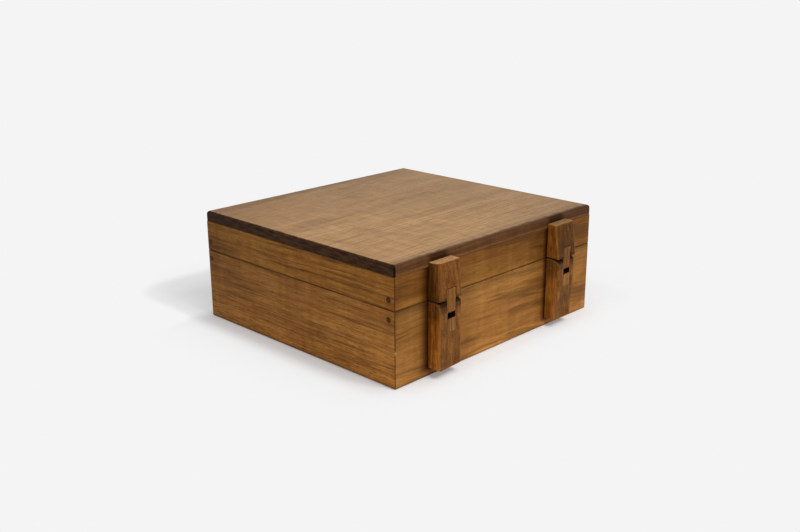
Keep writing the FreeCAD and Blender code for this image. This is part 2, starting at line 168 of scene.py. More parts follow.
def vector_calc(tree, operation, *values):
    """One step of arithmetic with places or directions."""
    made = put(tree, "VectorMath", dict(enumerate(values)), operation=operation)
    return made.outputs["Value" if operation in SINGLE_RESULTS else "Vector"]


def product(tree, first, *others):
    """Values multiplied together."""
    for value in others:
        first = calc(tree, "MULTIPLY", first, value)
    return first


def strongest(tree, first, *others):
    """The largest of some values."""
    for value in others:
        first = calc(tree, "MAXIMUM", first, value)
    return first


def spread(tree, value, low, high, new_low=0.0, new_high=1.0):
    """Carry a value smoothly from one range to another, and hold it at the ends."""
    feed = {"Value": value, 1: low, 2: high, 3: new_low, 4: new_high}
    return put(tree, "MapRange", feed, interpolation_type="SMOOTHSTEP").outputs[0]


def fading(tree, value, full, gone, strength=1.0):
    """Full strength up to one value, nothing from another on, and a smooth change between them."""
    return spread(tree, value, full, gone, strength, 0.0)


def new_tree(owner):
    """An empty node tree of a material or a world."""
    owner.use_nodes = True
    owner.node_tree.nodes.clear()
    return owner.node_tree


print("operations that give one value:", SINGLE_RESULTS)

# %% [markdown]
# ## Colours and places
# Colours are written as they look on a screen and turned into the linear values that a renderer works in.
# Patterns are made from Object coordinates, so they stay with a piece wherever it moves, and every piece
# here sits at the origin, so all of them share one set of places.

# %% Helpers for colours and patterns


def srgb(red, green, blue):
    """A screen colour from 0 to 255 as linear RGBA."""
    parts = [part / 255 for part in (red, green, blue)]
    linear = [part / 12.92 if part <= 0.04045 else ((part + 0.055) / 1.055) ** 2.4 for part in parts]
    return (*linear, 1.0)


def mixed(tree, share, first, second, blend="MIX"):
    """Blend two colours."""
    made = put(tree, "Mix", {0: share, 6: first, 7: second}, data_type="RGBA", blend_type=blend)
    return made.outputs[2]


def multiplied(tree, colour, level):
    """A colour made darker by a level under 1, or lighter by one over it."""
    grey = put(tree, "CombineColor", {0: level, 1: level, 2: level}).outputs[0]
    return mixed(tree, 1.0, colour, grey, "MULTIPLY")


def darkened(tree, share, colour, factor, warmth=1.0):
    """The colour times a factor where share is 1; warmth under 1 takes green and more blue away."""
    tint = (factor, factor * warmth, factor * warmth ** 2, 1.0)
    return mixed(tree, share, colour, mixed(tree, 1.0, colour, tint, "MULTIPLY"))


def ramp(tree, value, *stops):
    """A colour for each value: stops are (place, colour) pairs from low to high."""
    made = put(tree, "ValToRGB", {0: value})
    colours = made.color_ramp.elements
    while len(colours) < len(stops):
        colours.new(0.5)
    for element, (place, colour) in zip(colours, stops):
        element.position = place
        element.color = colour
    return made.outputs[0]


def object_place(tree):
    """The place on the piece."""
    return put(tree, "TexCoord", {}).outputs["Object"]


def here(tree):
    """The place on the piece, as three values."""
    return tuple(put(tree, "SeparateXYZ", {0: object_place(tree)}).outputs)


def stretched(tree, place, *scales):
    """The same place with each axis scaled by its own amount."""
    return vector_calc(tree, "MULTIPLY", place, scales)


def noise(tree, place, scale=1.0, detail=2.0, roughness=0.5, distortion=0.0):
    """Soft random values from 0 to 1, centred on a half."""
    quality = {"Detail": detail, "Roughness": roughness, "Distortion": distortion}
    return put(tree, "TexNoise", {"Vector": place, "Scale": scale, **quality}).outputs["Fac"]


def centred(tree, value):
    """A value that swings about a half, made to swing about 0."""
    return calc(tree, "SUBTRACT", value, 0.5)


print("white as linear:", srgb(255, 255, 255))

# %% [markdown]
# ## Floor
# The box stands on a white sweep. A plain lit floor would shade off towards the back, so the camera sees
# the sweep as a blend: an even tone far from the box, which keeps the backdrop clean, and mostly a lit
# surface near the box, which keeps the soft shadow. In front of the box, where the longest shadow falls,
# the even tone has a larger share towards the right end.

# %% Floor
BACKDROP = srgb(244, 244, 244)
FLOOR_PAINT = srgb(237, 238, 239)
FLOOR_REACH = 40.0
FLOOR_DROP = 0.0002
SHADOW_MIDDLE = Vector((-0.03, -0.06, 0.0))
SHADOW_HALF = Vector((0.163, 0.182, 1.0))
EVEN_NEAR = 0.21
EVEN_FAR = 0.8
EVEN_RISE = 0.029, 0.056
EVEN_REST = 0.05, 0.12
FRONT_EDGE = -0.14, -0.165
THIN_SHADOW = 0.11, 0.18, 0.1, 0.45


def seen_directly(tree):
    """1 for rays that the camera sends, also by way of a mirror or glass, and 0 for light rays."""
    path = tree.nodes.new("ShaderNodeLightPath").outputs
    return strongest(tree, path["Is Camera Ray"], path["Is Glossy Ray"], path["Is Transmission Ray"])


def even_share(tree):
    """How far the floor is an even tone: a little near the box, and wholly far from it."""
    shifted = vector_calc(tree, "SUBTRACT", object_place(tree), SHADOW_MIDDLE)
    beyond = vector_calc(tree, "SUBTRACT", vector_calc(tree, "ABSOLUTE", shifted), SHADOW_HALF)
    away = vector_calc(tree, "LENGTH", vector_calc(tree, "MAXIMUM", beyond, (0.0, 0.0, 0.0)))
    even = spread(tree, away, *EVEN_RISE, EVEN_NEAR, EVEN_FAR)
    even = calc(tree, "ADD", even, spread(tree, away, *EVEN_REST, 0.0, 1.0 - EVEN_FAR))
    x, y, _ = here(tree)
    even = calc(tree, "MULTIPLY_ADD", spread(tree, y, *FRONT_EDGE), spread(tree, x, *THIN_SHADOW), even)
    return calc(tree, "MINIMUM", even, 1.0)


def floor_material():
    """A white sweep that turns into an even tone away from the box."""
    material = bpy.data.materials.new("sweep")
    tree = new_tree(material)
    lit = put(tree, "BsdfDiffuse", {"Color": FLOOR_PAINT}).outputs[0]
    plain = put(tree, "Emission", {"Color": BACKDROP}).outputs[0]
    share = product(tree, even_share(tree), seen_directly(tree))
    both = put(tree, "MixShader", {0: share, 1: lit, 2: plain}).outputs[0]
    put(tree, "OutputMaterial", {"Surface": both})
    return material


def make_floor():
    """One large square, just under the box."""
    mesh = bpy.data.meshes.new("floor")
    signs = (-1, -1), (1, -1), (1, 1), (-1, 1)
    corners = [(x * FLOOR_REACH, y * FLOOR_REACH, -FLOOR_DROP) for x, y in signs]
    mesh.from_pydata(corners, [], [(0, 1, 2, 3)])
    mesh.materials.append(floor_material())
    floor = bpy.data.objects.new("floor", mesh)
    scene.collection.objects.link(floor)
    return floor


print("floor faces:", len(make_floor().data.polygons))

# %% [markdown]
# ## Studio light
# Soft light comes from an even white dome and three square lamps: a strong one behind the hinge side, a
# weak one on the right side of the box and a broad one overhead. Lamps of some size give soft shadows,
# which a sun lamp would not.

# %% World and lamps
WORLD_LEVEL = 0.42


def make_world():
    """An even white dome, which the camera sees as the backdrop."""
    world = bpy.data.worlds.new("studio")
    tree = new_tree(world)
    dome = put(tree, "Background", {"Color": (1, 1, 1, 1), "Strength": WORLD_LEVEL}).outputs[0]
    shown = put(tree, "Background", {"Color": BACKDROP, "Strength": 1.0}).outputs[0]
    both = put(tree, "MixShader", {0: seen_directly(tree), 1: dome, 2: shown}).outputs[0]
    put(tree, "OutputWorld", {"Surface": both})
    scene.world = world


def softbox(name, azimuth, elevation, distance, size, power):
    """A square lamp that faces the middle of the box."""
    lamp = bpy.data.lights.new(name, "AREA")
    lamp.size = size
    lamp.energy = power
    towards = direction(math.radians(azimuth), math.radians(elevation))
    holder = bpy.data.objects.new(name, lamp)
    holder.location = Vector((0, 0, box_height / 2)) + towards * distance
    holder.rotation_euler = towards.to_track_quat("Z", "Y").to_euler()
    scene.collection.objects.link(holder)


scene.view_settings.view_transform = "Standard"
make_world()
softbox("key", azimuth=182, elevation=50, distance=1.6, size=0.6, power=13)
softbox("fill", azimuth=90, elevation=20, distance=1.8, size=1.0, power=1.8)
softbox("overhead", azimuth=210, elevation=80, distance=1.6, size=1.0, power=7)

# %% [markdown]
# ## Timber
# Sawn timber is a slice through a solid, so its figure is a pattern in space. A picture of wood on each
# face would not meet at the edges. The Mapping node stands a trunk somewhere near the board and leans it
# a little. In the trunk's own frame the first axis runs up the tree and the distance from it counts the
# growth rings, so a board that lies along the rings shows arches, and one that cuts through them shows
# close straight lines.

# %% Places in the trunk
UPRIGHT_TRUNK = {"X": (0.0, 0.0), "Y": (0.0, 90.0), "Z": (-90.0, 0.0)}
WANDER_SCALES = 7.0, 18.0, 18.0
MIDDLE = 0.5, 0.5, 0.5


def trunk_place(tree, along, heart, lean, wander):
    """Places measured from the heart of the tree, pushed sideways a little so that the grain wanders."""
    pitch, turn = [math.radians(a + b) for a, b in zip(UPRIGHT_TRUNK[along], lean)]
    feed = {"Vector": object_place(tree), "Location": heart, "Rotation": (0.0, pitch, turn)}
    place = put(tree, "Mapping", feed, vector_type="TEXTURE").outputs[0]
    slow = {"Vector": stretched(tree, place, *WANDER_SCALES), "Scale": 1.0, "Detail": 3.0}
    push = vector_calc(tree, "SUBTRACT", put(tree, "TexNoise", slow).outputs["Color"], MIDDLE)
    sideways = stretched(tree, push, 0.0, 2 * wander, 2 * wander)
    return vector_calc(tree, "ADD", place, sideways)


def ring_place(tree, place, ring, run):
    """Places counted in rings outwards and in runs of a streak up the trunk."""
    x, y, z = put(tree, "SeparateXYZ", {0: place}).outputs
    radius = vector_calc(tree, "LENGTH", put(tree, "CombineXYZ", {1: y, 2: z}).outputs[0])
    upwards = calc(tree, "DIVIDE", x, run)
    outwards = calc(tree, "DIVIDE", radius, ring)
    return put(tree, "CombineXYZ", {0: upwards, 1: outwards}).outputs[0]


print("trunks stand along:", list(UPRIGHT_TRUNK))

# %% [markdown]
# ## Figure of the wood
# Seven things make up the figure. Streaks are noise drawn out along the rings, from several rings wide
# down to a hair. Growth lines are where a soft noise passes its middle value, so they wander, part and
# join. Clouds shade the board slowly, hairs are short thin streaks, and ripples run across the grain.
# Fibres are very fine and long. Pores are dashes along the grain, open at the surface, and hold dark oil.
# Noise and Voronoi nodes make all of them, which costs no memory and never repeats.

# %% Lines and pores
GRAIN_NOISE = {
    "cloud": {"along": 9.0, "across": 26.0, "detail": 4.0},
    "hair": {"along": 50.0, "across": 520.0, "detail": 3.0, "roughness": 0.65},
    "ripple": {"along": 130.0, "across": 26.0},
    "fibre": {"along": 28.0, "across": 950.0, "detail": 4.0, "roughness": 0.6},
}
LINE_BREAK_SCALE = 0.7
LINE_STRENGTH = 0.35, 0.62, 0.1, 1.0
PORE_CORE = 0.14
PORE_RIM = 0.32


def grain_noise(tree, place, along, across, **quality):
    """Noise with so many features to the metre along the grain and across it."""
    return noise(tree, stretched(tree, place, along, across, across), **quality)


def growth_lines(tree, rings, fineness):
    """Thin dark lines: 1 on a line and 0 between lines."""
    field = noise(tree, rings, detail=3.0, roughness=0.6)
    line = fading(tree, calc(tree, "ABSOLUTE", centred(tree, field)), 0.0, fineness)
    breaks = noise(tree, rings, LINE_BREAK_SCALE, detail=1.0)
    return product(tree, line, spread(tree, breaks, *LINE_STRENGTH))


def pores(tree, place, length, width):
    """1 inside a short dash along the grain and 0 between the dashes."""
    spot = stretched(tree, place, 1 / length, 1 / width, 1 / width)
    near = put(tree, "TexVoronoi", {"Vector": spot, "Scale": 1.0}).outputs["Distance"]
    return fading(tree, near, PORE_CORE, PORE_RIM)


for name, look in GRAIN_NOISE.items():
    print(name, "features to the metre:", look["along"], "along the grain,", look["across"], "across it")

# %% A board's figure and its colour
STREAK_SCALE = 0.55
PORE_LENGTH = 0.010
PORE_WIDTH = 0.0012
PORE_SHARE = 0.32, 0.68, 0.2, 1.0
PORE_OIL = srgb(62, 38, 13)
TONE_STOPS = 0.34, 0.5, 0.68
FIBRE_LEVELS = 0.25, 0.75, 0.82, 1.14


def figure(tree, along, heart, lean, ring, run=0.22, wander=0.003, fineness=0.07):
    """All the parts of a board's figure, as sockets."""
    place = trunk_place(tree, along, heart, lean, wander)
    rings = ring_place(tree, place, ring, run)
    parts = {name: grain_noise(tree, place, **look) for name, look in GRAIN_NOISE.items()}
    dash = pores(tree, place, PORE_LENGTH, PORE_WIDTH)
    return SimpleNamespace(
        place=place,
        streak=noise(tree, rings, STREAK_SCALE, detail=6.0, roughness=0.72),
        line=growth_lines(tree, rings, fineness),
        pore=product(tree, dash, spread(tree, parts["cloud"], *PORE_SHARE)),
        **parts,
    )


def stained(tree, wood, tones, lines=0.5, flecks=0.5, streaky=0.8, cloudy=0.5, hairy=0.6, rippled=0.2):
    """The colour of a figure in four tones: dark line, and low, middle and light streaks."""
    dark, *body = tones
    shares = (wood.streak, streaky), (wood.cloud, cloudy), (wood.hair, hairy), (wood.ripple, rippled)
    tone = 0.5
    for part, share in shares:
        tone = calc(tree, "MULTIPLY_ADD", centred(tree, part), share, tone)
    colour = ramp(tree, tone, *zip(TONE_STOPS, body))
    colour = mixed(tree, product(tree, wood.line, lines), colour, dark)
    colour = mixed(tree, product(tree, wood.pore, flecks), colour, PORE_OIL)
    return multiplied(tree, colour, spread(tree, wood.fibre, *FIBRE_LEVELS))


print("a pore every", PORE_LENGTH * 1000, "mm along the grain")

# %% [markdown]
# ## Where a face looks and what it is near
# Finishes change with the way a face looks and with the distance from a seam, a corner or another piece.
# Painted masks would have to be drawn again for each board. The frame knows every place, so each mask
# here is a soft step on a distance.

# %% Masks
AXES = {"X": (1, 0, 0), "Y": (0, 1, 0), "Z": (0, 0, 1)}


def facing(tree, axis, low, high, either_way=False):
    """1 on faces that look along an axis, or against it too where that is asked, and 0 on the others."""
    normal = put(tree, "TexCoord", {}).outputs["Normal"]
    dot = vector_calc(tree, "DOT_PRODUCT", normal, AXES[axis])
    if either_way:
        dot = calc(tree, "ABSOLUTE", dot)
    return spread(tree, dot, low, high)


def outside_span(tree, value, low, high):
    """How far a value lies outside a span: below 0 inside it."""
    from_middle = calc(tree, "ABSOLUTE", calc(tree, "SUBTRACT", value, (low + high) / 2))
    return calc(tree, "SUBTRACT", from_middle, (high - low) / 2)


def near_spot(tree, spot, inner, outer):
    """1 near a place on the piece and 0 far from it."""
    return fading(tree, vector_calc(tree, "DISTANCE", object_place(tree), spot), inner, outer)


print("axes:", AXES)

# %% [markdown]
# ## Dirt and painted shade in the joints
# The seam between lid and base and the foot of the box are painted dark, partly as shade in the gap and
# by the floor and partly as oil and dust, and dust gathers along the mitred corners. The seam is dark all
# along the hinge side, and comes and goes on the other sides. Beside each hinge leaf the back of the box
# is painted dark for the leaf's shadow and the shade in the corner, with some dirt, and more so on the
# leaf's right.

# %% Dirt and painted shade in seam, corners and foot
SEAM_HEIGHT = (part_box("base_back_wall")[1].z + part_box("lid_back_rail")[0].z) / 2
WALL_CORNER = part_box("base_right_wall")[1].x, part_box("base_back_wall")[1].y
# The dark seam line is painted shade in the gap, with dirt.
SEAM_DIRT_AND_SHADE = 0.0003, 0.0011
SEAM_BREAK_SCALE = 14.0
SEAM_BREAKS = 0.35, 0.6, 0.3, 0.9
CORNER_DIRT = 0.0002, 0.0012
# The dark foot is painted contact shade, with dirt.
FOOT_DIRT_AND_SHADE = 0.0004, 0.003
FOOT_DIRT_AND_SHADE_SHARE = 0.5
CLEAN_RIM = 0.15
SQUARE_ON = 0.7, 0.95


def joint_dirt_and_shade(tree):
    """1 in the seam, on the vertical corners and at the foot, and 0 on open faces; seam and foot are
    painted shade as well as dirt.
    """
    x, y, z = here(tree)
    to_seam = calc(tree, "ABSOLUTE", calc(tree, "SUBTRACT", z, SEAM_HEIGHT))
    broken = spread(tree, noise(tree, object_place(tree), SEAM_BREAK_SCALE), *SEAM_BREAKS)
    held = strongest(tree, broken, facing(tree, "Y", *SQUARE_ON))
    rim = facing(tree, "Z", *SQUARE_ON, either_way=True)
    outside = spread(tree, rim, 0.0, 1.0, 1.0, CLEAN_RIM)
    seam = product(tree, fading(tree, to_seam, *SEAM_DIRT_AND_SHADE), held, outside)
    corner = 1.0
    for part, reach in zip((x, y), WALL_CORNER):
        from_corner = calc(tree, "SUBTRACT", reach, calc(tree, "ABSOLUTE", part))
        corner = product(tree, corner, fading(tree, from_corner, *CORNER_DIRT))
    return strongest(tree, seam, corner, fading(tree, z, *FOOT_DIRT_AND_SHADE, strength=FOOT_DIRT_AND_SHADE_SHARE))


print("seam at", round(SEAM_HEIGHT, 4), "corner at", WALL_CORNER)

# %% Painted shade beside the leaves
LEAF_SHADE_REACH = {
    "left": SimpleNamespace(thick=0.009, faint=0.036, left_side=0.0),
    "right": SimpleNamespace(thick=0.015, faint=0.026, left_side=0.2),
}
FAINT_SHADE = 0.28
LEFT_SIDE_REACH = 0.024, 0.046
UNDER_LEAF = 0.002
ENDS_REACH = 0.005
BACK_SKIN = 0.004, 0.002


def leaf_shade_and_dirt(tree):
    """Painted shade and some dirt on the back of the box: 1 against a leaf's right side, fading away, and
    less or none on its left.
    """
    x, y, z = here(tree)
    dirt_and_shade = 0.0
    for hand, reach in LEAF_SHADE_REACH.items():
        low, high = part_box(f"{hand}_lower_leaf")[0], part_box(f"{hand}_upper_leaf")[1]
        beside = calc(tree, "SUBTRACT", x, high.x)
        thick = fading(tree, beside, 0.0, reach.thick, 1.0 - FAINT_SHADE)
        faint = fading(tree, beside, 0.0, reach.faint, FAINT_SHADE)
        near = product(tree, calc(tree, "ADD", thick, faint), spread(tree, x, low.x - UNDER_LEAF, low.x))
        before = calc(tree, "SUBTRACT", low.x, x)
        left_side = fading(tree, before, *LEFT_SIDE_REACH, strength=reach.left_side)
        left_side = product(tree, left_side, spread(tree, before, -UNDER_LEAF, 0.0))
        level = fading(tree, outside_span(tree, z, low.z, high.z), 0.0, ENDS_REACH)
        dirt_and_shade = strongest(tree, dirt_and_shade, product(tree, strongest(tree, near, left_side), level))
    skin = [WALL_CORNER[1] - depth for depth in BACK_SKIN]
    return product(tree, dirt_and_shade, spread(tree, y, *skin))


# Leaves beside which the back of the box gets painted shade.
print("leaves with dirt beside them:", list(LEAF_SHADE_REACH))

# %% [markdown]
# ## A board's finish
# All the timbers share one surface. Oiled wood is only a little glossy: a low index of refraction keeps
# the sides deep in colour, and the top still picks up the white of the room where the eye meets it at a
# low angle. Pores are dull and sunk, and fibres stand up by a hair. Both are too fine for a mesh, so they
# are bump in the finish.

# %% Oiled surface
OILED_IOR = 1.14
PORE_DULLNESS = 0.2
FIBRE_DULLNESS = 0.14
PORE_DEPTH = -0.8
FIBRE_HEIGHT = 0.6
GRAIN_BUMP = {"Strength": 0.35, "Distance": 0.00025}


def oiled(material, tree, wood, colour, gloss=0.46, index=OILED_IOR):
    """Close a timber's graph with an oiled surface."""
    rough = calc(tree, "MULTIPLY_ADD", wood.fibre, FIBRE_DULLNESS, gloss - FIBRE_DULLNESS / 2)
    rough = calc(tree, "MULTIPLY_ADD", wood.pore, PORE_DULLNESS, rough)
    height = calc(tree, "MULTIPLY_ADD", wood.pore, PORE_DEPTH, product(tree, wood.fibre, FIBRE_HEIGHT))
    bump = put(tree, "Bump", {"Height": height, **GRAIN_BUMP}).outputs[0]
    feed = {"Base Color": colour, "Roughness": rough, "Normal": bump, "IOR": index}
    put(tree, "OutputMaterial", {"Surface": put(tree, "BsdfPrincipled", feed).outputs[0]})
    return material


print("index of refraction:", OILED_IOR)

# %% [markdown]
# ## Walls and rails
# Base and lid frame were sawn from the same boards, two long ones and two for the sides, so the figure
# runs across the seam. The boards aren't one tone: the walls darken upwards, which paints in the light
# that the white floor throws on their lower part, a strip along the foot is a painted highlight, the rails
# are deeper in colour, the side boards grow pale towards the hinges, and open pores show near the foot. A
# list of shades gives each board its own slow changes. One corner is chipped to clean wood, and the back
# rail has a pin knot.

# %% Finish of the walls
# Colour of dirt, and of the painted shade in seam and foot.
DIRT_AND_SHADE = srgb(46, 23, 8)
DIRT_AND_SHADE_SHARE = 0.85
LEAF_SHADE = 0.15
LEAF_SHADE_WARMTH = 0.55
END_GRAIN = 0.5, 0.9
WALL_END_LEVEL = 0.6
KNOT = Vector((-0.065, WALL_CORNER[1], 0.0915))
KNOT_SIZE = 0.0006, 0.002
CHIP = Vector((*WALL_CORNER, 0.036))
CHIP_SIZE = 0.0006, 0.0024
CHIP_WOOD = srgb(196, 150, 96)
CHIP_SHARE = 0.6
OPEN_PORE_LENGTH = 0.013
OPEN_PORE_WIDTH = 0.0024
OPEN_PORE_HEIGHT = 0.012, 0.06


def shaded(tree, colour, shades):
    """The colour multiplied by a factor that comes in smoothly from one place to another along an axis."""
    for axis, start, full, factor in shades:
        place = here(tree)["XYZ".index(axis)]
        colour = multiplied(tree, colour, spread(tree, place, start, full, 1.0, factor))
    return colour


def wall_timber(name, board, tones, shades):
    """The walls and the lid's rails, with dirt and painted shade in the joints and beside the leaves, a
    small knot and a chipped corner.
    """
    material = bpy.data.materials.new(name)
    tree = new_tree(material)
    wood = figure(tree, **board.trunk)
    colour = stained(tree, wood, tones, **board.looks)
    near_foot = fading(tree, here(tree)[2], *OPEN_PORE_HEIGHT, strength=board.open_pores)
    dashes = product(tree, pores(tree, wood.place, OPEN_PORE_LENGTH, OPEN_PORE_WIDTH), near_foot)
    colour = shaded(tree, mixed(tree, dashes, colour, tones[0]), shades)
    ends = facing(tree, board.trunk["along"], *END_GRAIN, either_way=True)
    colour = darkened(tree, ends, colour, WALL_END_LEVEL)
    # Painted shade: the leaf's shadow and the shade in the corner beside it, with some dirt.
    colour = darkened(tree, leaf_shade_and_dirt(tree), colour, LEAF_SHADE, warmth=LEAF_SHADE_WARMTH)
    # Seam and foot here are painted shade as well as dirt; the knot is the wood's own.
    dirt_and_shade = strongest(tree, joint_dirt_and_shade(tree), near_spot(tree, KNOT, *KNOT_SIZE))
    colour = mixed(tree, product(tree, dirt_and_shade, DIRT_AND_SHADE_SHARE), colour, DIRT_AND_SHADE)
    chip = product(tree, near_spot(tree, CHIP, *CHIP_SIZE), CHIP_SHARE)
    colour = mixed(tree, chip, colour, CHIP_WOOD)
    return oiled(material, tree, wood, colour)


print("knot at", KNOT[:], "chip at", CHIP[:])

# %% Timbers of the walls
WALL_TONES = srgb(98, 60, 23), srgb(139, 89, 37), srgb(165, 108, 48), srgb(184, 126, 60)
LONG_WALL_TONES = srgb(97, 60, 24), srgb(140, 92, 40), srgb(166, 111, 51), srgb(185, 129, 63)
RAIL_TONES = srgb(86, 52, 17), srgb(124, 77, 27), srgb(150, 96, 36), srgb(171, 116, 49)
LONG_BOARD = SimpleNamespace(
    trunk={"along": "X", "heart": (4.44, -0.02, -0.12), "lean": (0.8, 1.5), "ring": 0.006, "run": 0.3},
    looks={"lines": 0.6, "flecks": 0.35, "streaky": 0.75, "cloudy": 1.0, "hairy": 0.3},
    open_pores=0.2,
)
SIDE_BOARD = SimpleNamespace(
    trunk={"along": "Y", "heart": (0.02, 3.33, -0.16), "lean": (-0.6, 2.0), "ring": 0.0042, "run": 0.25},
    looks={"lines": 0.7, "streaky": 0.7, "cloudy": 0.8, "hairy": 0.6, "rippled": 0.25},
    open_pores=0.8,
)

# Each shade is an axis, where it starts, where it is full, and its factor there.
WALL_SHADES = [
    # Darker upwards: painted light from the floor, brighter low on the wall.
    ("Z", 0.0, SEAM_HEIGHT, 0.82),
    ("Z", SEAM_HEIGHT - 0.013, SEAM_HEIGHT - 0.005, 0.78),
    # A painted highlight along the foot.
    ("Z", 0.013, 0.007, 1.2),
    ("X", 0.09, 0.15, 0.84),
]
RAIL_SHADES = [("Z", 0.0, SEAM_HEIGHT, 0.66), ("Z", SEAM_HEIGHT + 0.014, SEAM_HEIGHT + 0.004, 1.15)]
PALE_END = [("Y", -0.08, 0.14, 1.2), ("Y", 0.0, -0.14, 0.92)]
# Its first shade, darker upwards, is painted light from the floor.
SIDE_WALL_SHADES = [("Z", 0.0, SEAM_HEIGHT, 0.74), *PALE_END]
SIDE_RAIL_SHADES = [("Z", 0.0, SEAM_HEIGHT, 0.79), *PALE_END, ("Y", -0.06, -0.13, 0.86)]

long_walls = wall_timber("long_wall_timber", LONG_BOARD, LONG_WALL_TONES, WALL_SHADES)
long_rails = wall_timber("long_rail_timber", LONG_BOARD, RAIL_TONES, RAIL_SHADES)
side_walls = wall_timber("side_wall_timber", SIDE_BOARD, WALL_TONES, SIDE_WALL_SHADES)
side_rails = wall_timber("side_rail_timber", SIDE_BOARD, RAIL_TONES, SIDE_RAIL_SHADES)
print("wall timbers:", long_walls.name, long_rails.name, side_walls.name, side_rails.name)

# %% [markdown]
# ## The lid board
# The top is one wide board. Its tones are lighter and greyer than its edges, a painted sheen of the
# room's white that the top catches at a low angle. Where the tree grew in waves, the light catches the
# fibres in a faint ripple across the grain, painted into the colour, strongest towards the hinge corner,
# where more painted sheen lightens the face and some streaks are gold. The front right corner is warmer
# and the long borders are a little darker. All this is colour on one face, so it is mixed from masks and
# noise.

# %% Face of the lid
# These tones hold painted sheen: lighter and greyer than the wood of the edges.
LID_SHEEN_TONES = srgb(93, 65, 39), srgb(130, 97, 61), srgb(147, 114, 77), srgb(164, 129, 91)
LID_LOOKS = {"lines": 0.35, "flecks": 0.35, "cloudy": 0.3, "hairy": 0.45}
LID_GOLD = srgb(186, 136, 66)
GOLD_GRAIN = {"along": 18.0, "across": 420.0}
GOLD_STREAKS = 0.5, 0.75
GOLD_SHARE = 0.1, 0.45
WAVE_GRAIN = {"along": 150.0, "across": 26.0, "distortion": 0.7}
WAVE_SWING = 0.1, 0.7
SHEEN_SPOT = Vector((0.11, 0.08, 0.12))
SHEEN_REACH = 0.05, 0.24
PAINTED_SHEEN = 0.26
WARM_SPOT = Vector((0.15, -0.14, 0.12))
WARM_REACH = 0.16
WARM_LEVEL = 0.92
LID_BORDER = 0.03
LID_BORDER_LEVEL = 0.82


def lid_face(tree, wood):
    """The colour of the lid's face: fine streaks, some of them gold, a ripple across the grain, and
    painted sheen towards the hinge corner.
    """
    colour = stained(tree, wood, LID_SHEEN_TONES, **LID_LOOKS)
    sheen = near_spot(tree, SHEEN_SPOT, *SHEEN_REACH)
    gold = spread(tree, grain_noise(tree, wood.place, **GOLD_GRAIN), *GOLD_STREAKS)
    gold = product(tree, gold, spread(tree, sheen, 0.0, 1.0, *GOLD_SHARE))
    colour = mixed(tree, gold, colour, LID_GOLD)
    wave = centred(tree, grain_noise(tree, wood.place, **WAVE_GRAIN))
    shine = calc(tree, "MULTIPLY_ADD", wave, spread(tree, sheen, 0.0, 1.0, *WAVE_SWING), 1.0)
    # Painted sheen, brightest towards the hinge corner.
    colour = multiplied(tree, colour, calc(tree, "MULTIPLY_ADD", sheen, PAINTED_SHEEN, shine))
    warm = near_spot(tree, WARM_SPOT, 0.0, WARM_REACH)
    colour = darkened(tree, warm, colour, WARM_LEVEL, warmth=WARM_LEVEL)
    from_edge = calc(tree, "SUBTRACT", WALL_CORNER[1], calc(tree, "ABSOLUTE", here(tree)[1]))
    return darkened(tree, fading(tree, from_edge, 0.0, LID_BORDER), colour, LID_BORDER_LEVEL)


# Middle of the painted sheen.
print("polished round", SHEEN_SPOT[:])

# %% [markdown]
# ## Edges of the lid
# End grain drinks oil and is nearly black, with thin layers that run along the board's width. The long
# edges are darker than the face, partly because the face's colour holds painted sheen and partly from
# years of hands, and on the hinge side the dark comes over the arris in an uneven band. Over each leaf,
# where fingers lift the lid, the edge is stained darker still, and its lowest strip stayed lighter. Noise
# shifts the borders of the dark parts, so they don't look ruled.

# %% Stain over the leaves
STAIN_INSET = 0.006, 0.002
STAIN_FADE = -0.004, 0.006
HINGE_HALF = 0.0, 0.01


def leaf_stain(tree):
    """1 on the lid just over a hinge leaf, where fingers lift it, and 0 elsewhere."""
    x, y, _ = here(tree)
    stain = 0.0
    for hand in LEAF_SHADE_REACH:
        low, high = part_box(f"{hand}_upper_leaf")
        across = outside_span(tree, x, low.x + STAIN_INSET[0], high.x - STAIN_INSET[1])
        stain = strongest(tree, stain, fading(tree, across, *STAIN_FADE))
    return product(tree, stain, spread(tree, y, *HINGE_HALF))


print("stains over leaves:", len(LEAF_SHADE_REACH))

# %% Edges of the lid
LID_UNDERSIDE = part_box("lid_top_board")[0].z
RAGGED_SCALE = 260.0
RAGGED_START = 0.3, 0.7, 0.02, 0.3
EDGE_FULL = 0.35
HANDLED_SCALE = 90.0
HANDLED_SWING = 0.008
HANDLED_BAND = 0.003, 0.0085
HANDLED_SHARE = 0.95
UPPER_FACE = 0.2, 0.6
FLAT_EDGE = 0.8, 0.98
LONG_EDGE = {"factor": 0.28, "warmth": 0.7}
LEAF_STAIN = {"factor": 0.4, "warmth": 0.8}
LID_END = {"factor": 0.125, "warmth": 0.72}
LOWEST_STRIP = LID_UNDERSIDE + 0.0018, LID_UNDERSIDE + 0.0034
LOWEST_LEVELS = 2.0, 1.2
END_LAYERS = 1.0, 70.0, 420.0
END_LAYER_LEVELS = 0.3, 0.7, 0.4, 1.7


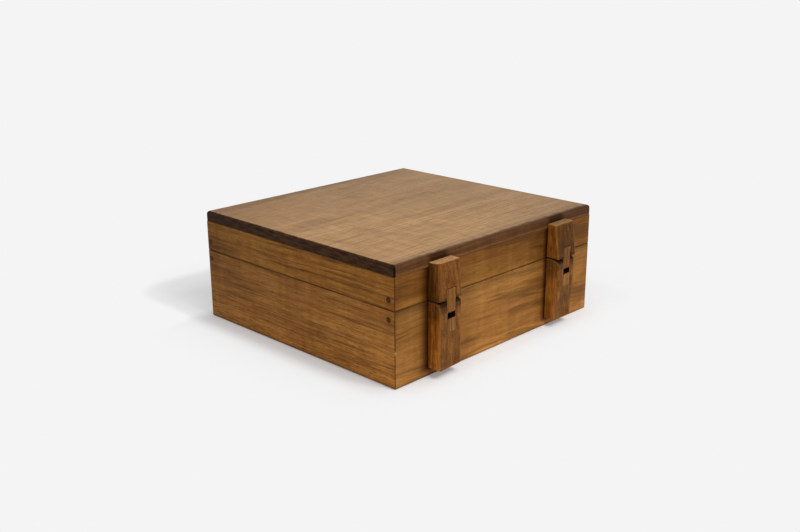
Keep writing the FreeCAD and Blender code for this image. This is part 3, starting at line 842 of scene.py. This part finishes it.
def lid_edges(tree, colour):
    """The lid's colour with its edges: long sides darker than the sheen-painted face and handled, stains
    over the leaves and dark end grain.
    """
    _, y, z = here(tree)
    place = object_place(tree)
    ragged = noise(tree, place, RAGGED_SCALE, detail=3.0, roughness=0.65)
    start = spread(tree, ragged, *RAGGED_START)
    uneven = centred(tree, noise(tree, place, HANDLED_SCALE, detail=3.0))
    from_hinges = calc(tree, "SUBTRACT", WALL_CORNER[1], y)
    handled = calc(tree, "MULTIPLY_ADD", uneven, HANDLED_SWING, from_hinges)
    arris = fading(tree, handled, *HANDLED_BAND, strength=HANDLED_SHARE)
    arris = product(tree, arris, facing(tree, "Z", *UPPER_FACE))
    long_side = facing(tree, "Y", start, EDGE_FULL, either_way=True)
    # Long sides darker than the face, whose tones hold painted sheen, and darker from handling.
    colour = darkened(tree, strongest(tree, arris, long_side), colour, **LONG_EDGE)
    flat = facing(tree, "Y", *FLAT_EDGE, either_way=True)
    lowest = multiplied(tree, colour, spread(tree, z, *LOWEST_STRIP, *LOWEST_LEVELS))
    colour = mixed(tree, flat, colour, lowest)
    colour = darkened(tree, product(tree, long_side, leaf_stain(tree)), colour, **LEAF_STAIN)
    end = facing(tree, "X", start, EDGE_FULL, either_way=True)
    colour = darkened(tree, end, colour, **LID_END)
    layers = noise(tree, stretched(tree, place, *END_LAYERS), detail=4.0, roughness=0.6)
    return mixed(tree, end, colour, multiplied(tree, colour, spread(tree, layers, *END_LAYER_LEVELS)))


print("lid from height", round(LID_UNDERSIDE, 4))

# %% Timber of the lid
LID_IOR = 1.13
LID_GLOSS = 0.44
LID_TRUNK = {"along": "X", "heart": (3.7, 0.05, -0.3), "lean": (0.4, 2.0), "ring": 0.0028, "run": 0.5}


def lid_timber():
    """The top board."""
    material = bpy.data.materials.new("lid_timber")
    tree = new_tree(material)
    wood = figure(tree, **LID_TRUNK)
    colour = lid_edges(tree, lid_face(tree, wood))
    return oiled(material, tree, wood, colour, gloss=LID_GLOSS, index=LID_IOR)


lid_board = lid_timber()
print("lid:", lid_board.name)

# %% [markdown]
# ## Dirt and painted shade in the hinges
# The tongue and the block that closes its slot are let into the leaves, so a dark line runs round each of
# them. The slot is painted black inside, as shade. The rounded faces that meet at the knuckle are painted
# dark for the shade under the shoulder and for grime, which is smudged over the prongs, and the thin prong
# beyond the tongue is painted black at its top, shade and grime together. The boxes round the CAD pieces
# say where all of this is.

# %% Inlay lines and slots
INLAY_LINE = 0.0011
INLAY_CORE = 0.3 * INLAY_LINE
HOLLOW_DEPTH = 0.003
HOLLOW_MOUTH = 0.0012
HOLLOW_SIDES = 0.0004, 0.0012
HOLLOW_ENDS = 0.0008


def inlay_line(tree, inlay):
    """1 on a thin line round a piece that is let into the leaf."""
    x, _, z = here(tree)
    low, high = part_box(inlay)
    across = outside_span(tree, x, low.x, high.x)
    upright = outside_span(tree, z, low.z, high.z)
    border = calc(tree, "ABSOLUTE", strongest(tree, across, upright))
    return fading(tree, border, INLAY_CORE, INLAY_LINE)


def slot_shade(tree, hand):
    """Painted shade: 1 deep in the slot that the tongue works in and 0 on the leaf's outside."""
    x, y, z = here(tree)
    low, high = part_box(f"{hand}_hinge_tongue")
    slot_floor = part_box(f"{hand}_slot_block")[1].z - HOLLOW_DEPTH
    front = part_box(f"{hand}_lower_leaf")[1].y
    between = fading(tree, outside_span(tree, x, low.x, high.x), *HOLLOW_SIDES)
    deep = fading(tree, y, front - HOLLOW_DEPTH, front - HOLLOW_MOUTH)
    level = fading(tree, outside_span(tree, z, slot_floor, SEAM_HEIGHT), 0.0, HOLLOW_ENDS)
    return product(tree, between, deep, level)


print("inlay line:", INLAY_LINE * 1000, "mm")

# %% Grime and painted shade at the knuckle
PIN_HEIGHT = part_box("left_hinge_pin")[0].lerp(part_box("left_hinge_pin")[1], 0.5).z
KNUCKLE_MARGIN = 0.003
KNUCKLE_LEVEL = -0.002, 0.0
KNUCKLE_FACES = 0.15, 0.6
KNUCKLE_REACH = 0.007, 0.0125
FAR_GRIME_AND_SHADE = 0.5
SMUDGE_AND_SHADE_RISE = PIN_HEIGHT - 0.005, PIN_HEIGHT + 0.003
SMUDGE_AND_SHADE_END = SEAM_HEIGHT, SEAM_HEIGHT + 0.004
SMUDGE_AND_SHADE_SHARE = 0.65
THIN_PRONG_BAND = 0.0045
THIN_PRONG_ENDS = -0.001, 0.001
THIN_PRONG_SIDE = 0.0005


def knuckle_grime_and_shade(tree, hand):
    """Painted shade under the shoulder with grime: 1 beside the tongue on the rounded faces that meet at
    the knuckle, and less on the smudge over the prongs.
    """
    x, _, z = here(tree)
    low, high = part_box(f"{hand}_hinge_tongue")
    beside = spread(tree, outside_span(tree, x, low.x, high.x), *KNUCKLE_REACH, 1.0, FAR_GRIME_AND_SHADE)
    level = outside_span(tree, z, PIN_HEIGHT - KNUCKLE_MARGIN, SEAM_HEIGHT + KNUCKLE_MARGIN)
    rounded = facing(tree, "Z", *KNUCKLE_FACES, either_way=True)
    gap = product(tree, fading(tree, level, *KNUCKLE_LEVEL), rounded, beside)
    # A weaker smudge of the same painted shade and grime over the prongs.
    smudge_and_shade = spread(tree, z, *SMUDGE_AND_SHADE_RISE, 0.0, SMUDGE_AND_SHADE_SHARE)
    smudge_and_shade = product(tree, smudge_and_shade, fading(tree, z, *SMUDGE_AND_SHADE_END), spread(tree, beside, FAR_GRIME_AND_SHADE, 1.0))
    return strongest(tree, gap, smudge_and_shade)


def thin_prong_grime_and_shade(tree, hand):
    """1 on the top of the thin prong beyond the tongue, painted black for the shade under the shoulder and
    for grime, and 0 elsewhere.
    """
    x, _, z = here(tree)
    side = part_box(f"{hand}_hinge_tongue")[0].x
    beyond = fading(tree, x, side - THIN_PRONG_SIDE, side)
    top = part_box(f"{hand}_lower_leaf")[1].z
    level = fading(tree, outside_span(tree, z, top - THIN_PRONG_BAND, top), *THIN_PRONG_ENDS)
    return product(tree, beyond, level)


print("pin at height", round(PIN_HEIGHT, 4))

# %% [markdown]
# ## Hinge leaves
# The hinge leaves were shaped by hand and are handled whenever the box is opened. Their fronts have gone
# a smudged purple brown, their sides are a clean orange brown with painted shade from the knuckle up, and
# their top ends are pale, partly their own colour and partly painted sheen. Arrises are lighter, partly
# wear and partly a painted highlight, which the finish reads from an attribute of the carved mesh. No two
# leaves are alike in tone, so each has its own levels.

# %% Fronts and sides of the leaves
LEAF_FRONT = srgb(76, 41, 14), srgb(110, 67, 28), srgb(134, 85, 37), srgb(158, 106, 50)
LEAF_SIDE = srgb(98, 50, 12), srgb(140, 80, 24), srgb(166, 101, 34), srgb(190, 126, 54)
LEAF_SMUDGE = srgb(88, 53, 26)
FRONT_LOOKS = {"lines": 0.3, "flecks": 0.5, "streaky": 0.5, "cloudy": 0.5, "hairy": 0.9}
SIDE_LOOKS = {"lines": 0.7, "flecks": 0.4, "hairy": 0.9}
BLOTCH_GRAIN = {"along": 50.0, "across": 110.0, "detail": 3.0}
BLOTCH_SHARE = 0.4, 0.68, 0.0, 0.5
SCUFF_SCALE = 620.0
SCUFF_LEVELS = 0.3, 0.7, 0.78, 1.2
SIDE_SHADE_RISE = PIN_HEIGHT - 0.02, PIN_HEIGHT - 0.002
SIDE_SHADE_LEVEL = 0.5


def leaf_front(tree, wood, levels):
    """The smudged and scuffed colour of a leaf's front."""
    colour = stained(tree, wood, LEAF_FRONT, **FRONT_LOOKS)
    blotch = spread(tree, grain_noise(tree, wood.place, **BLOTCH_GRAIN), *BLOTCH_SHARE)
    colour = mixed(tree, blotch, colour, LEAF_SMUDGE)
    scuff = noise(tree, wood.place, SCUFF_SCALE, detail=3.0, roughness=0.6)
    colour = multiplied(tree, colour, spread(tree, scuff, *SCUFF_LEVELS))
    return darkened(tree, 1.0, colour, levels.front, warmth=levels.warmth)


def leaf_side(tree, wood, levels):
    """The clean colour of a leaf's sides, with painted shade from the knuckle up."""
    colour = darkened(tree, 1.0, stained(tree, wood, LEAF_SIDE, **SIDE_LOOKS), levels.side)
    return darkened(tree, spread(tree, here(tree)[2], *SIDE_SHADE_RISE), colour, SIDE_SHADE_LEVEL)


print("sides darken from height", round(SIDE_SHADE_RISE[0], 4))

# %% Finish of the leaves
LEAF_IOR = 1.12
LEAF_FIGURE = {"lean": (1.5, 0.0), "ring": 0.0032, "run": 0.06, "wander": 0.0015, "fineness": 0.06}
# Colour of the upward ends, partly their own pale tone and partly painted sheen.
LEAF_TOP_AND_SHEEN = srgb(178, 136, 90)
# Colour of the arrises: worn wood with a painted highlight.
LEAF_WORN_AND_LIT = srgb(170, 112, 52)
WORN_AND_LIT_SHARE = 0.55
FRONT_FACES = 0.55, 0.9
END_FACES = 0.6, 0.9
END_SMUDGE = 0.4, 0.7, 0.0, 0.45
# Colour of grime and of painted shade in the hinge.
GRIME_AND_SHADE = srgb(32, 16, 6)
GRIME_AND_SHADE_SHARE = 0.95
LEAF_LEVELS = {
    "right_upper_leaf": SimpleNamespace(front=0.66, warmth=0.92, side=0.56, end=0.86),
    "right_lower_leaf": SimpleNamespace(front=0.84, warmth=1.0, side=1.08, end=1.0),
    "left_upper_leaf": SimpleNamespace(front=0.43, warmth=1.0, side=1.5, end=0.5),
    "left_lower_leaf": SimpleNamespace(front=0.92, warmth=1.0, side=0.86, end=1.0),
}


def leaf_timber(leaf, hand, heart, inlay, inlay_dirt):
    """One hinge leaf: smudged front, clean sides, pale top ends with painted sheen, arrises lighter with
    wear and a painted highlight, the line round its inlay, and painted shade with grime in slot and
    knuckle.
    """
    material = bpy.data.materials.new(leaf + "_timber")
    tree = new_tree(material)
    levels = LEAF_LEVELS[leaf]
    wood = figure(tree, "Z", heart, **LEAF_FIGURE)
    front = facing(tree, "Y", *FRONT_FACES)
    colour = mixed(tree, front, leaf_side(tree, wood, levels), leaf_front(tree, wood, levels))
    # Upward-facing ends: their pale colour is partly painted sheen.
    ends = mixed(tree, spread(tree, wood.hair, *END_SMUDGE), LEAF_TOP_AND_SHEEN, LEAF_SMUDGE)
    colour = mixed(tree, facing(tree, "Z", *END_FACES), colour, darkened(tree, 1.0, ends, levels.end))
    # Lighter arrises: wear and a painted highlight.
    worn_and_lit = put(tree, "Attribute", {}, attribute_name="wear_and_highlight").outputs["Fac"]
    colour = mixed(tree, product(tree, worn_and_lit, WORN_AND_LIT_SHARE), colour, LEAF_WORN_AND_LIT)
    line = product(tree, inlay_line(tree, inlay), inlay_dirt)
    # The inlay line is a dark joint; slot, knuckle and thin prong are painted shade with grime.
    dirt_and_shade = strongest(tree, line, slot_shade(tree, hand), knuckle_grime_and_shade(tree, hand), thin_prong_grime_and_shade(tree, hand))
    colour = mixed(tree, product(tree, dirt_and_shade, GRIME_AND_SHADE_SHARE), colour, GRIME_AND_SHADE)
    return oiled(material, tree, wood, colour, index=LEAF_IOR)


print("levels for:", list(LEAF_LEVELS))

# %% Timbers of the leaves
INLAYS = {"upper": ("hinge_tongue", 1.0), "lower": ("slot_block", 0.5)}
LEAF_HEARTS = {"left": Vector((-0.02, 0.05, 0.0)), "right": Vector((0.02, 0.05, 0.0))}

leaf_timbers = {}
for hand, from_tongue in LEAF_HEARTS.items():
    heart = from_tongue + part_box(f"{hand}_hinge_tongue")[0]
    for half, (inlay, inlay_dirt) in INLAYS.items():
        leaf = f"{hand}_{half}_leaf"
        leaf_timbers[leaf] = leaf_timber(leaf, hand, heart, f"{hand}_{inlay}", inlay_dirt)
print("leaf timbers:", list(leaf_timbers))

# %% [markdown]
# ## Small timbers
# Tongues and slot blocks are lighter than the leaves, because they were cut later and are less handled.
# Pegs and dowels show only their end grain, dark with oil. They are plain pieces of the same kind, so one
# function makes all their finishes.

# %% Tongue, peg and bottom finishes
SMALL_FIGURE = {"lean": (1.0, 1.0), "run": 0.08, "wander": 0.001}
RIM_REACH = 0.3, 0.95
RIM_LEVEL = 0.75
TONGUE_END = 0.05
PEG_END = 0.8
BOTTOM_END = 0.6
TONGUE_TONES = srgb(86, 52, 22), srgb(116, 73, 32), srgb(135, 88, 40), srgb(151, 102, 50)
DARK_TONGUE_TONES = srgb(80, 46, 17), srgb(108, 67, 26), srgb(128, 82, 33), srgb(144, 96, 43)
PEG_TONES = srgb(58, 35, 12), srgb(78, 49, 19), srgb(94, 61, 26), srgb(110, 73, 33)
TONGUE_TRUNK = {"along": "Z", "heart": (0.03, 0.14, 0.0), "ring": 0.003}
DARK_TONGUE_TRUNK = {"along": "Z", "heart": (-0.03, 0.14, 0.0), "ring": 0.003}
PEG_TRUNK = {"along": "X", "heart": (0.0, 0.12, 0.05), "ring": 0.0012}
BOTTOM_TRUNK = {"along": "X", "heart": (0.0, 0.0, -0.2), "ring": 0.006}


def small_timber(name, trunk, tones, end_level, index=OILED_IOR, **looks):
    """A small piece of plain timber, dark towards its rim where it has one."""
    material = bpy.data.materials.new(name)
    tree = new_tree(material)
    wood = figure(tree, **trunk, **SMALL_FIGURE)
    ends = facing(tree, trunk["along"], *END_GRAIN, either_way=True)
    colour = darkened(tree, ends, stained(tree, wood, tones, **looks), end_level)
    rim = put(tree, "Attribute", {}, attribute_name="rim").outputs["Fac"]
    colour = darkened(tree, spread(tree, rim, *RIM_REACH), colour, RIM_LEVEL)
    return oiled(material, tree, wood, colour, index=index)


tongue_timber = small_timber("tongue_timber", TONGUE_TRUNK, TONGUE_TONES, TONGUE_END)
dark_tongue_timber = small_timber("dark_tongue_timber", DARK_TONGUE_TRUNK, DARK_TONGUE_TONES, TONGUE_END)
peg_timber = small_timber("peg_timber", PEG_TRUNK, PEG_TONES, PEG_END, index=LEAF_IOR, flecks=0.8)
bottom_timber = small_timber("bottom_timber", BOTTOM_TRUNK, RAIL_TONES, BOTTOM_END)
print("small timbers:", tongue_timber.name, dark_tongue_timber.name, peg_timber.name, bottom_timber.name)

# %% [markdown]
# ## Steel
# Only the ends of the hinge pins show. They are plain drawn steel, dulled by handling, so the colour is a
# cool grey with a little brown in the clouds and the gloss is broken by fine scratches along the pin. A
# flat grey would do for so small a spot, but the pin shows more when the part is used by itself.

# %% Steel finish
STAIN_SCALE = 900.0
SCRATCH_SCALES = 200.0, 6000.0, 6000.0
SCRATCH_ROUGHNESS = 0.2, 0.8, 0.28, 0.5
SCRATCH_BUMP = {"Strength": 0.2, "Distance": 0.0001}
STEEL_STOPS = (0.35, srgb(120, 112, 104)), (0.6, srgb(176, 174, 170))


def pin_steel():
    """Drawn wire, dulled and a little stained."""
    material = bpy.data.materials.new("pin_steel")
    tree = new_tree(material)
    place = object_place(tree)
    colour = ramp(tree, noise(tree, place, STAIN_SCALE, detail=4.0), *STEEL_STOPS)
    scratch = noise(tree, stretched(tree, place, *SCRATCH_SCALES))
    rough = spread(tree, scratch, *SCRATCH_ROUGHNESS)
    bump = put(tree, "Bump", {"Height": scratch, **SCRATCH_BUMP}).outputs[0]
    feed = {"Base Color": colour, "Roughness": rough, "Normal": bump, "Metallic": 1.0}
    put(tree, "OutputMaterial", {"Surface": put(tree, "BsdfPrincipled", feed).outputs[0]})
    return material


steel = pin_steel()
print("steel:", steel.name)

# %% [markdown]
# ## Dress the boards
# The boards are right as they come from the CAD model, so they keep their shape and only get a finish.
# The grain runs along each board, as it must for a mitred frame to stay true.

# %% Give every node its finish
FINISHES = {
    "front_wall": long_walls,
    "back_wall": long_walls,
    "left_wall": side_walls,
    "right_wall": side_walls,
    "front_rail": long_rails,
    "back_rail": long_rails,
    "left_rail": side_rails,
    "right_rail": side_rails,
    "bottom_board": bottom_timber,
    "top_board": lid_board,
    "right_hinge_tongue": tongue_timber,
    "left_hinge_tongue": dark_tongue_timber,
    "slot_block": tongue_timber,
    "pegs": peg_timber,
    "dowels": peg_timber,
    "pin": steel,
    **leaf_timbers,
}

for node_name, node in frame["nodes"].items():
    finish = next(finish for ending, finish in FINISHES.items() if node_name.endswith(ending))
    node.data.materials.clear()
    node.data.materials.append(finish)
print("dressed:", len(frame["nodes"]))

# %% [markdown]
# ## Carved hinge leaves
# A drawing gives the leaves crisp edges, but the real ones were pared with a knife and have worn soft. A
# bevel would be too even, so a copy of the CAD leaf is merged into one skin, remeshed into small even
# faces, smoothed so that the arrises round over, and dented by a hair's breadth of soft noise. It may not
# leave the leaf's own box. How sharply the skin turns at each point is kept as an attribute, which the
# finish reads as wear and as a painted highlight on the arrises.

# %% Skin of a leaf
MERGE_DISTANCE = 1e-6
DENT_DEPTH = 0.00012
DENT_SPACING = 0.007
FULL_EDGE_TURN = 0.16


def merged(mesh):
    """A bmesh of a CAD mesh, whose loose triangles are joined into one skin."""
    skin = bmesh.new()
    skin.from_mesh(mesh)
    bmesh.ops.remove_doubles(skin, verts=skin.verts, dist=MERGE_DISTANCE)
    return skin


def applied(piece):
    """Put what the modifiers make into the piece's own mesh, and take the modifiers away."""
    made = bpy.data.meshes.new_from_object(piece.evaluated_get(bpy.context.evaluated_depsgraph_get()))
    piece.modifiers.clear()
    piece.data = made


def dented(mesh, low, high):
    """Move every point along its normal by soft noise, but not out of a box."""
    places = [point.co.copy() for point in mesh.vertices]
    normals = [point.normal.copy() for point in mesh.vertices]
    moved = []
    for place, normal in zip(places, normals):
        spot = place + normal * soft_noise.noise(place / DENT_SPACING) * DENT_DEPTH
        moved.extend(min(max(value, least), most) for value, least, most in zip(spot, low, high))
    mesh.vertices.foreach_set("co", moved)
    mesh.update()


def keep_wear_and_highlight(mesh):
    """Store how sharply the skin turns outwards at each point, from 0 to 1."""
    skin = bmesh.new()
    skin.from_mesh(mesh)
    wear_and_highlight = []
    for point in skin.verts:
        around = [edge.other_vert(point).co for edge in point.link_edges]
        middle = sum(around, Vector()) / len(around)
        size = sum((co - point.co).length for co in around) / len(around)
        turn = (point.co - middle).dot(point.normal) / size
        wear_and_highlight.append(min(1.0, max(0.0, turn / FULL_EDGE_TURN)))
    skin.free()
    mesh.attributes.new("wear_and_highlight", "FLOAT", "POINT").data.foreach_set("value", wear_and_highlight)


print("dents:", DENT_DEPTH * 1000, "mm deep at most")

# %% Carve the leaves
CARVING_GRAIN = 0.00045
SMOOTHING_PASSES = 4


def carve(leaf):
    """A softened copy of one hinge leaf that stands for it."""
    node = frame["nodes"][leaf]
    piece = bpy.data.objects.new(leaf + "_carved", node.data.copy())
    scene.collection.objects.link(piece)
    skin = merged(piece.data)
    skin.to_mesh(piece.data)
    skin.free()
    remesh = piece.modifiers.new("even_faces", "REMESH")
    remesh.mode = "VOXEL"
    remesh.voxel_size = CARVING_GRAIN
    smooth = piece.modifiers.new("soft_edges", "SMOOTH")
    smooth.iterations = SMOOTHING_PASSES
    applied(piece)
    dented(piece.data, *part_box(leaf))
    keep_wear_and_highlight(piece.data)
    piece.data.materials.clear()
    piece.data.materials.append(leaf_timbers[leaf])
    piece.data.shade_smooth()
    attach(piece, node["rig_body"])
    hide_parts(leaf)
    print(piece.name, "faces:", len(piece.data.polygons))


for leaf in leaf_timbers:
    carve(leaf)

# %% [markdown]
# ## Corner pegs
# Each mitred corner is locked by a whittled peg, driven in from the side. The pegs repeat, so they are
# Geometry Nodes: one rough peg is instanced on a point for each corner, turned at random and pushed about
# by noise, as a knife leaves it. How far out each point of the peg lies is kept as an attribute, which
# the finish reads as the rim. The points come from the boxes round the CAD pegs.

# %% Peg tree
PEG_SIDES = 20
PEG_RINGS = 8
PEG_END_RINGS = 4
PEG_SEED = 7
LEAST_TURN = math.pi / 2, 0.0, math.pi / 2
MOST_TURN = math.pi / 2, 2 * math.pi, math.pi / 2
KNIFE_MARKS = 420.0


def peg_sockets(tree):
    """The named inputs of the peg tree and its one output."""
    sockets = tree.interface
    sockets.new_socket("Points", in_out="INPUT", socket_type="NodeSocketGeometry")
    for name in ("Radius", "Length", "Knife"):
        sockets.new_socket(name, in_out="INPUT", socket_type="NodeSocketFloat")
    sockets.new_socket("Timber", in_out="INPUT", socket_type="NodeSocketMaterial")
    sockets.new_socket("Pegs", in_out="OUTPUT", socket_type="NodeSocketGeometry")


def peg_tree():
    """A node group that puts one rough peg on every point."""
    tree = bpy.data.node_groups.new("whittled_pegs", "GeometryNodeTree")
    peg_sockets(tree)
    given = tree.nodes.new("NodeGroupInput").outputs
    sizes = {"Radius": given["Radius"], "Depth": given["Length"]}
    counts = {"Vertices": PEG_SIDES, "Side Segments": PEG_RINGS, "Fill Segments": PEG_END_RINGS}
    rod = add_node(tree, "GeometryNodeMeshCylinder", {**counts, **sizes}).outputs["Mesh"]
    place = add_node(tree, "GeometryNodeInputPosition", {}).outputs[0]
    radius = vector_calc(tree, "LENGTH", stretched(tree, place, 1.0, 1.0, 0.0))
    rim = {"Geometry": rod, "Name": "rim", "Value": calc(tree, "DIVIDE", radius, given["Radius"])}
    marked = add_node(tree, "GeometryNodeStoreNamedAttribute", rim).outputs[0]
    turns = {"Min": LEAST_TURN, "Max": MOST_TURN, "Seed": PEG_SEED}
    turn = add_node(tree, "FunctionNodeRandomValue", turns, data_type="FLOAT_VECTOR").outputs[0]
    spots = {"Points": given["Points"], "Instance": marked, "Rotation": turn}
    driven = add_node(tree, "GeometryNodeInstanceOnPoints", spots).outputs[0]
    solid = add_node(tree, "GeometryNodeRealizeInstances", {0: driven}).outputs[0]
    rough = put(tree, "TexNoise", {"Scale": KNIFE_MARKS, "Detail": 1.0}).outputs["Color"]
    cut = {0: vector_calc(tree, "SUBTRACT", rough, MIDDLE), "Scale": given["Knife"]}
    push = put(tree, "VectorMath", cut, operation="SCALE").outputs[0]
    pared = add_node(tree, "GeometryNodeSetPosition", {"Geometry": solid, "Offset": push}).outputs[0]
    flat = add_node(tree, "GeometryNodeSetShadeSmooth", {0: pared, "Shade Smooth": False}).outputs[0]
    dressed = add_node(tree, "GeometryNodeSetMaterial", {"Geometry": flat, "Material": given["Timber"]})
    tree.links.new(dressed.outputs[0], tree.nodes.new("NodeGroupOutput").inputs[0])
    return tree


pegs_tree = peg_tree()
print("peg tree nodes:", len(pegs_tree.nodes))

# %% Drive the pegs
PEG_SLACK = 0.00012
PEG_KNIFE = 0.00022


def solids_of(node_name):
    """The low and high corners of each separate solid in a CAD node, in order of place."""
    skin = merged(frame["nodes"][node_name].data)
    boxes = []
    for start in skin.verts:
        if start.tag:
            continue
        start.tag = True
        island = [start]
        for point in island:
            around = [edge.other_vert(point) for edge in point.link_edges]
            fresh = [other for other in around if not other.tag]
            for other in fresh:
                other.tag = True
            island.extend(fresh)
        places = [point.co[:] for point in island]
        boxes.append((Vector(map(min, zip(*places))), Vector(map(max, zip(*places)))))
    skin.free()
    return sorted(boxes, key=lambda box: box[0][:])


def drive_pegs(node_name):
    """The pegs of one body, on the middles of the CAD pegs."""
    boxes = solids_of(node_name)
    low, high = boxes[0]
    mesh = bpy.data.meshes.new("peg_points")
    mesh.from_pydata([(least + most) / 2 for least, most in boxes], [], [])
    piece = bpy.data.objects.new(node_name + "_whittled", mesh)
    scene.collection.objects.link(piece)
    grow = piece.modifiers.new("pegs", "NODES")
    grow.node_group = pegs_tree
    sizes = {
        "Radius": (high.z - low.z) / 2 - PEG_SLACK,
        "Length": high.x - low.x - PEG_KNIFE,
        "Knife": PEG_KNIFE,
        "Timber": peg_timber,
    }
    for item in pegs_tree.interface.items_tree:
        if item.name in sizes:
            grow[item.identifier] = sizes[item.name]
    applied(piece)
    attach(piece, frame["nodes"][node_name]["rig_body"])
    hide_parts(node_name)
    print(piece.name, "pegs:", len(boxes), "faces:", len(piece.data.polygons))


for node_name in ("base_corner_pegs", "lid_corner_pegs"):
    drive_pegs(node_name)
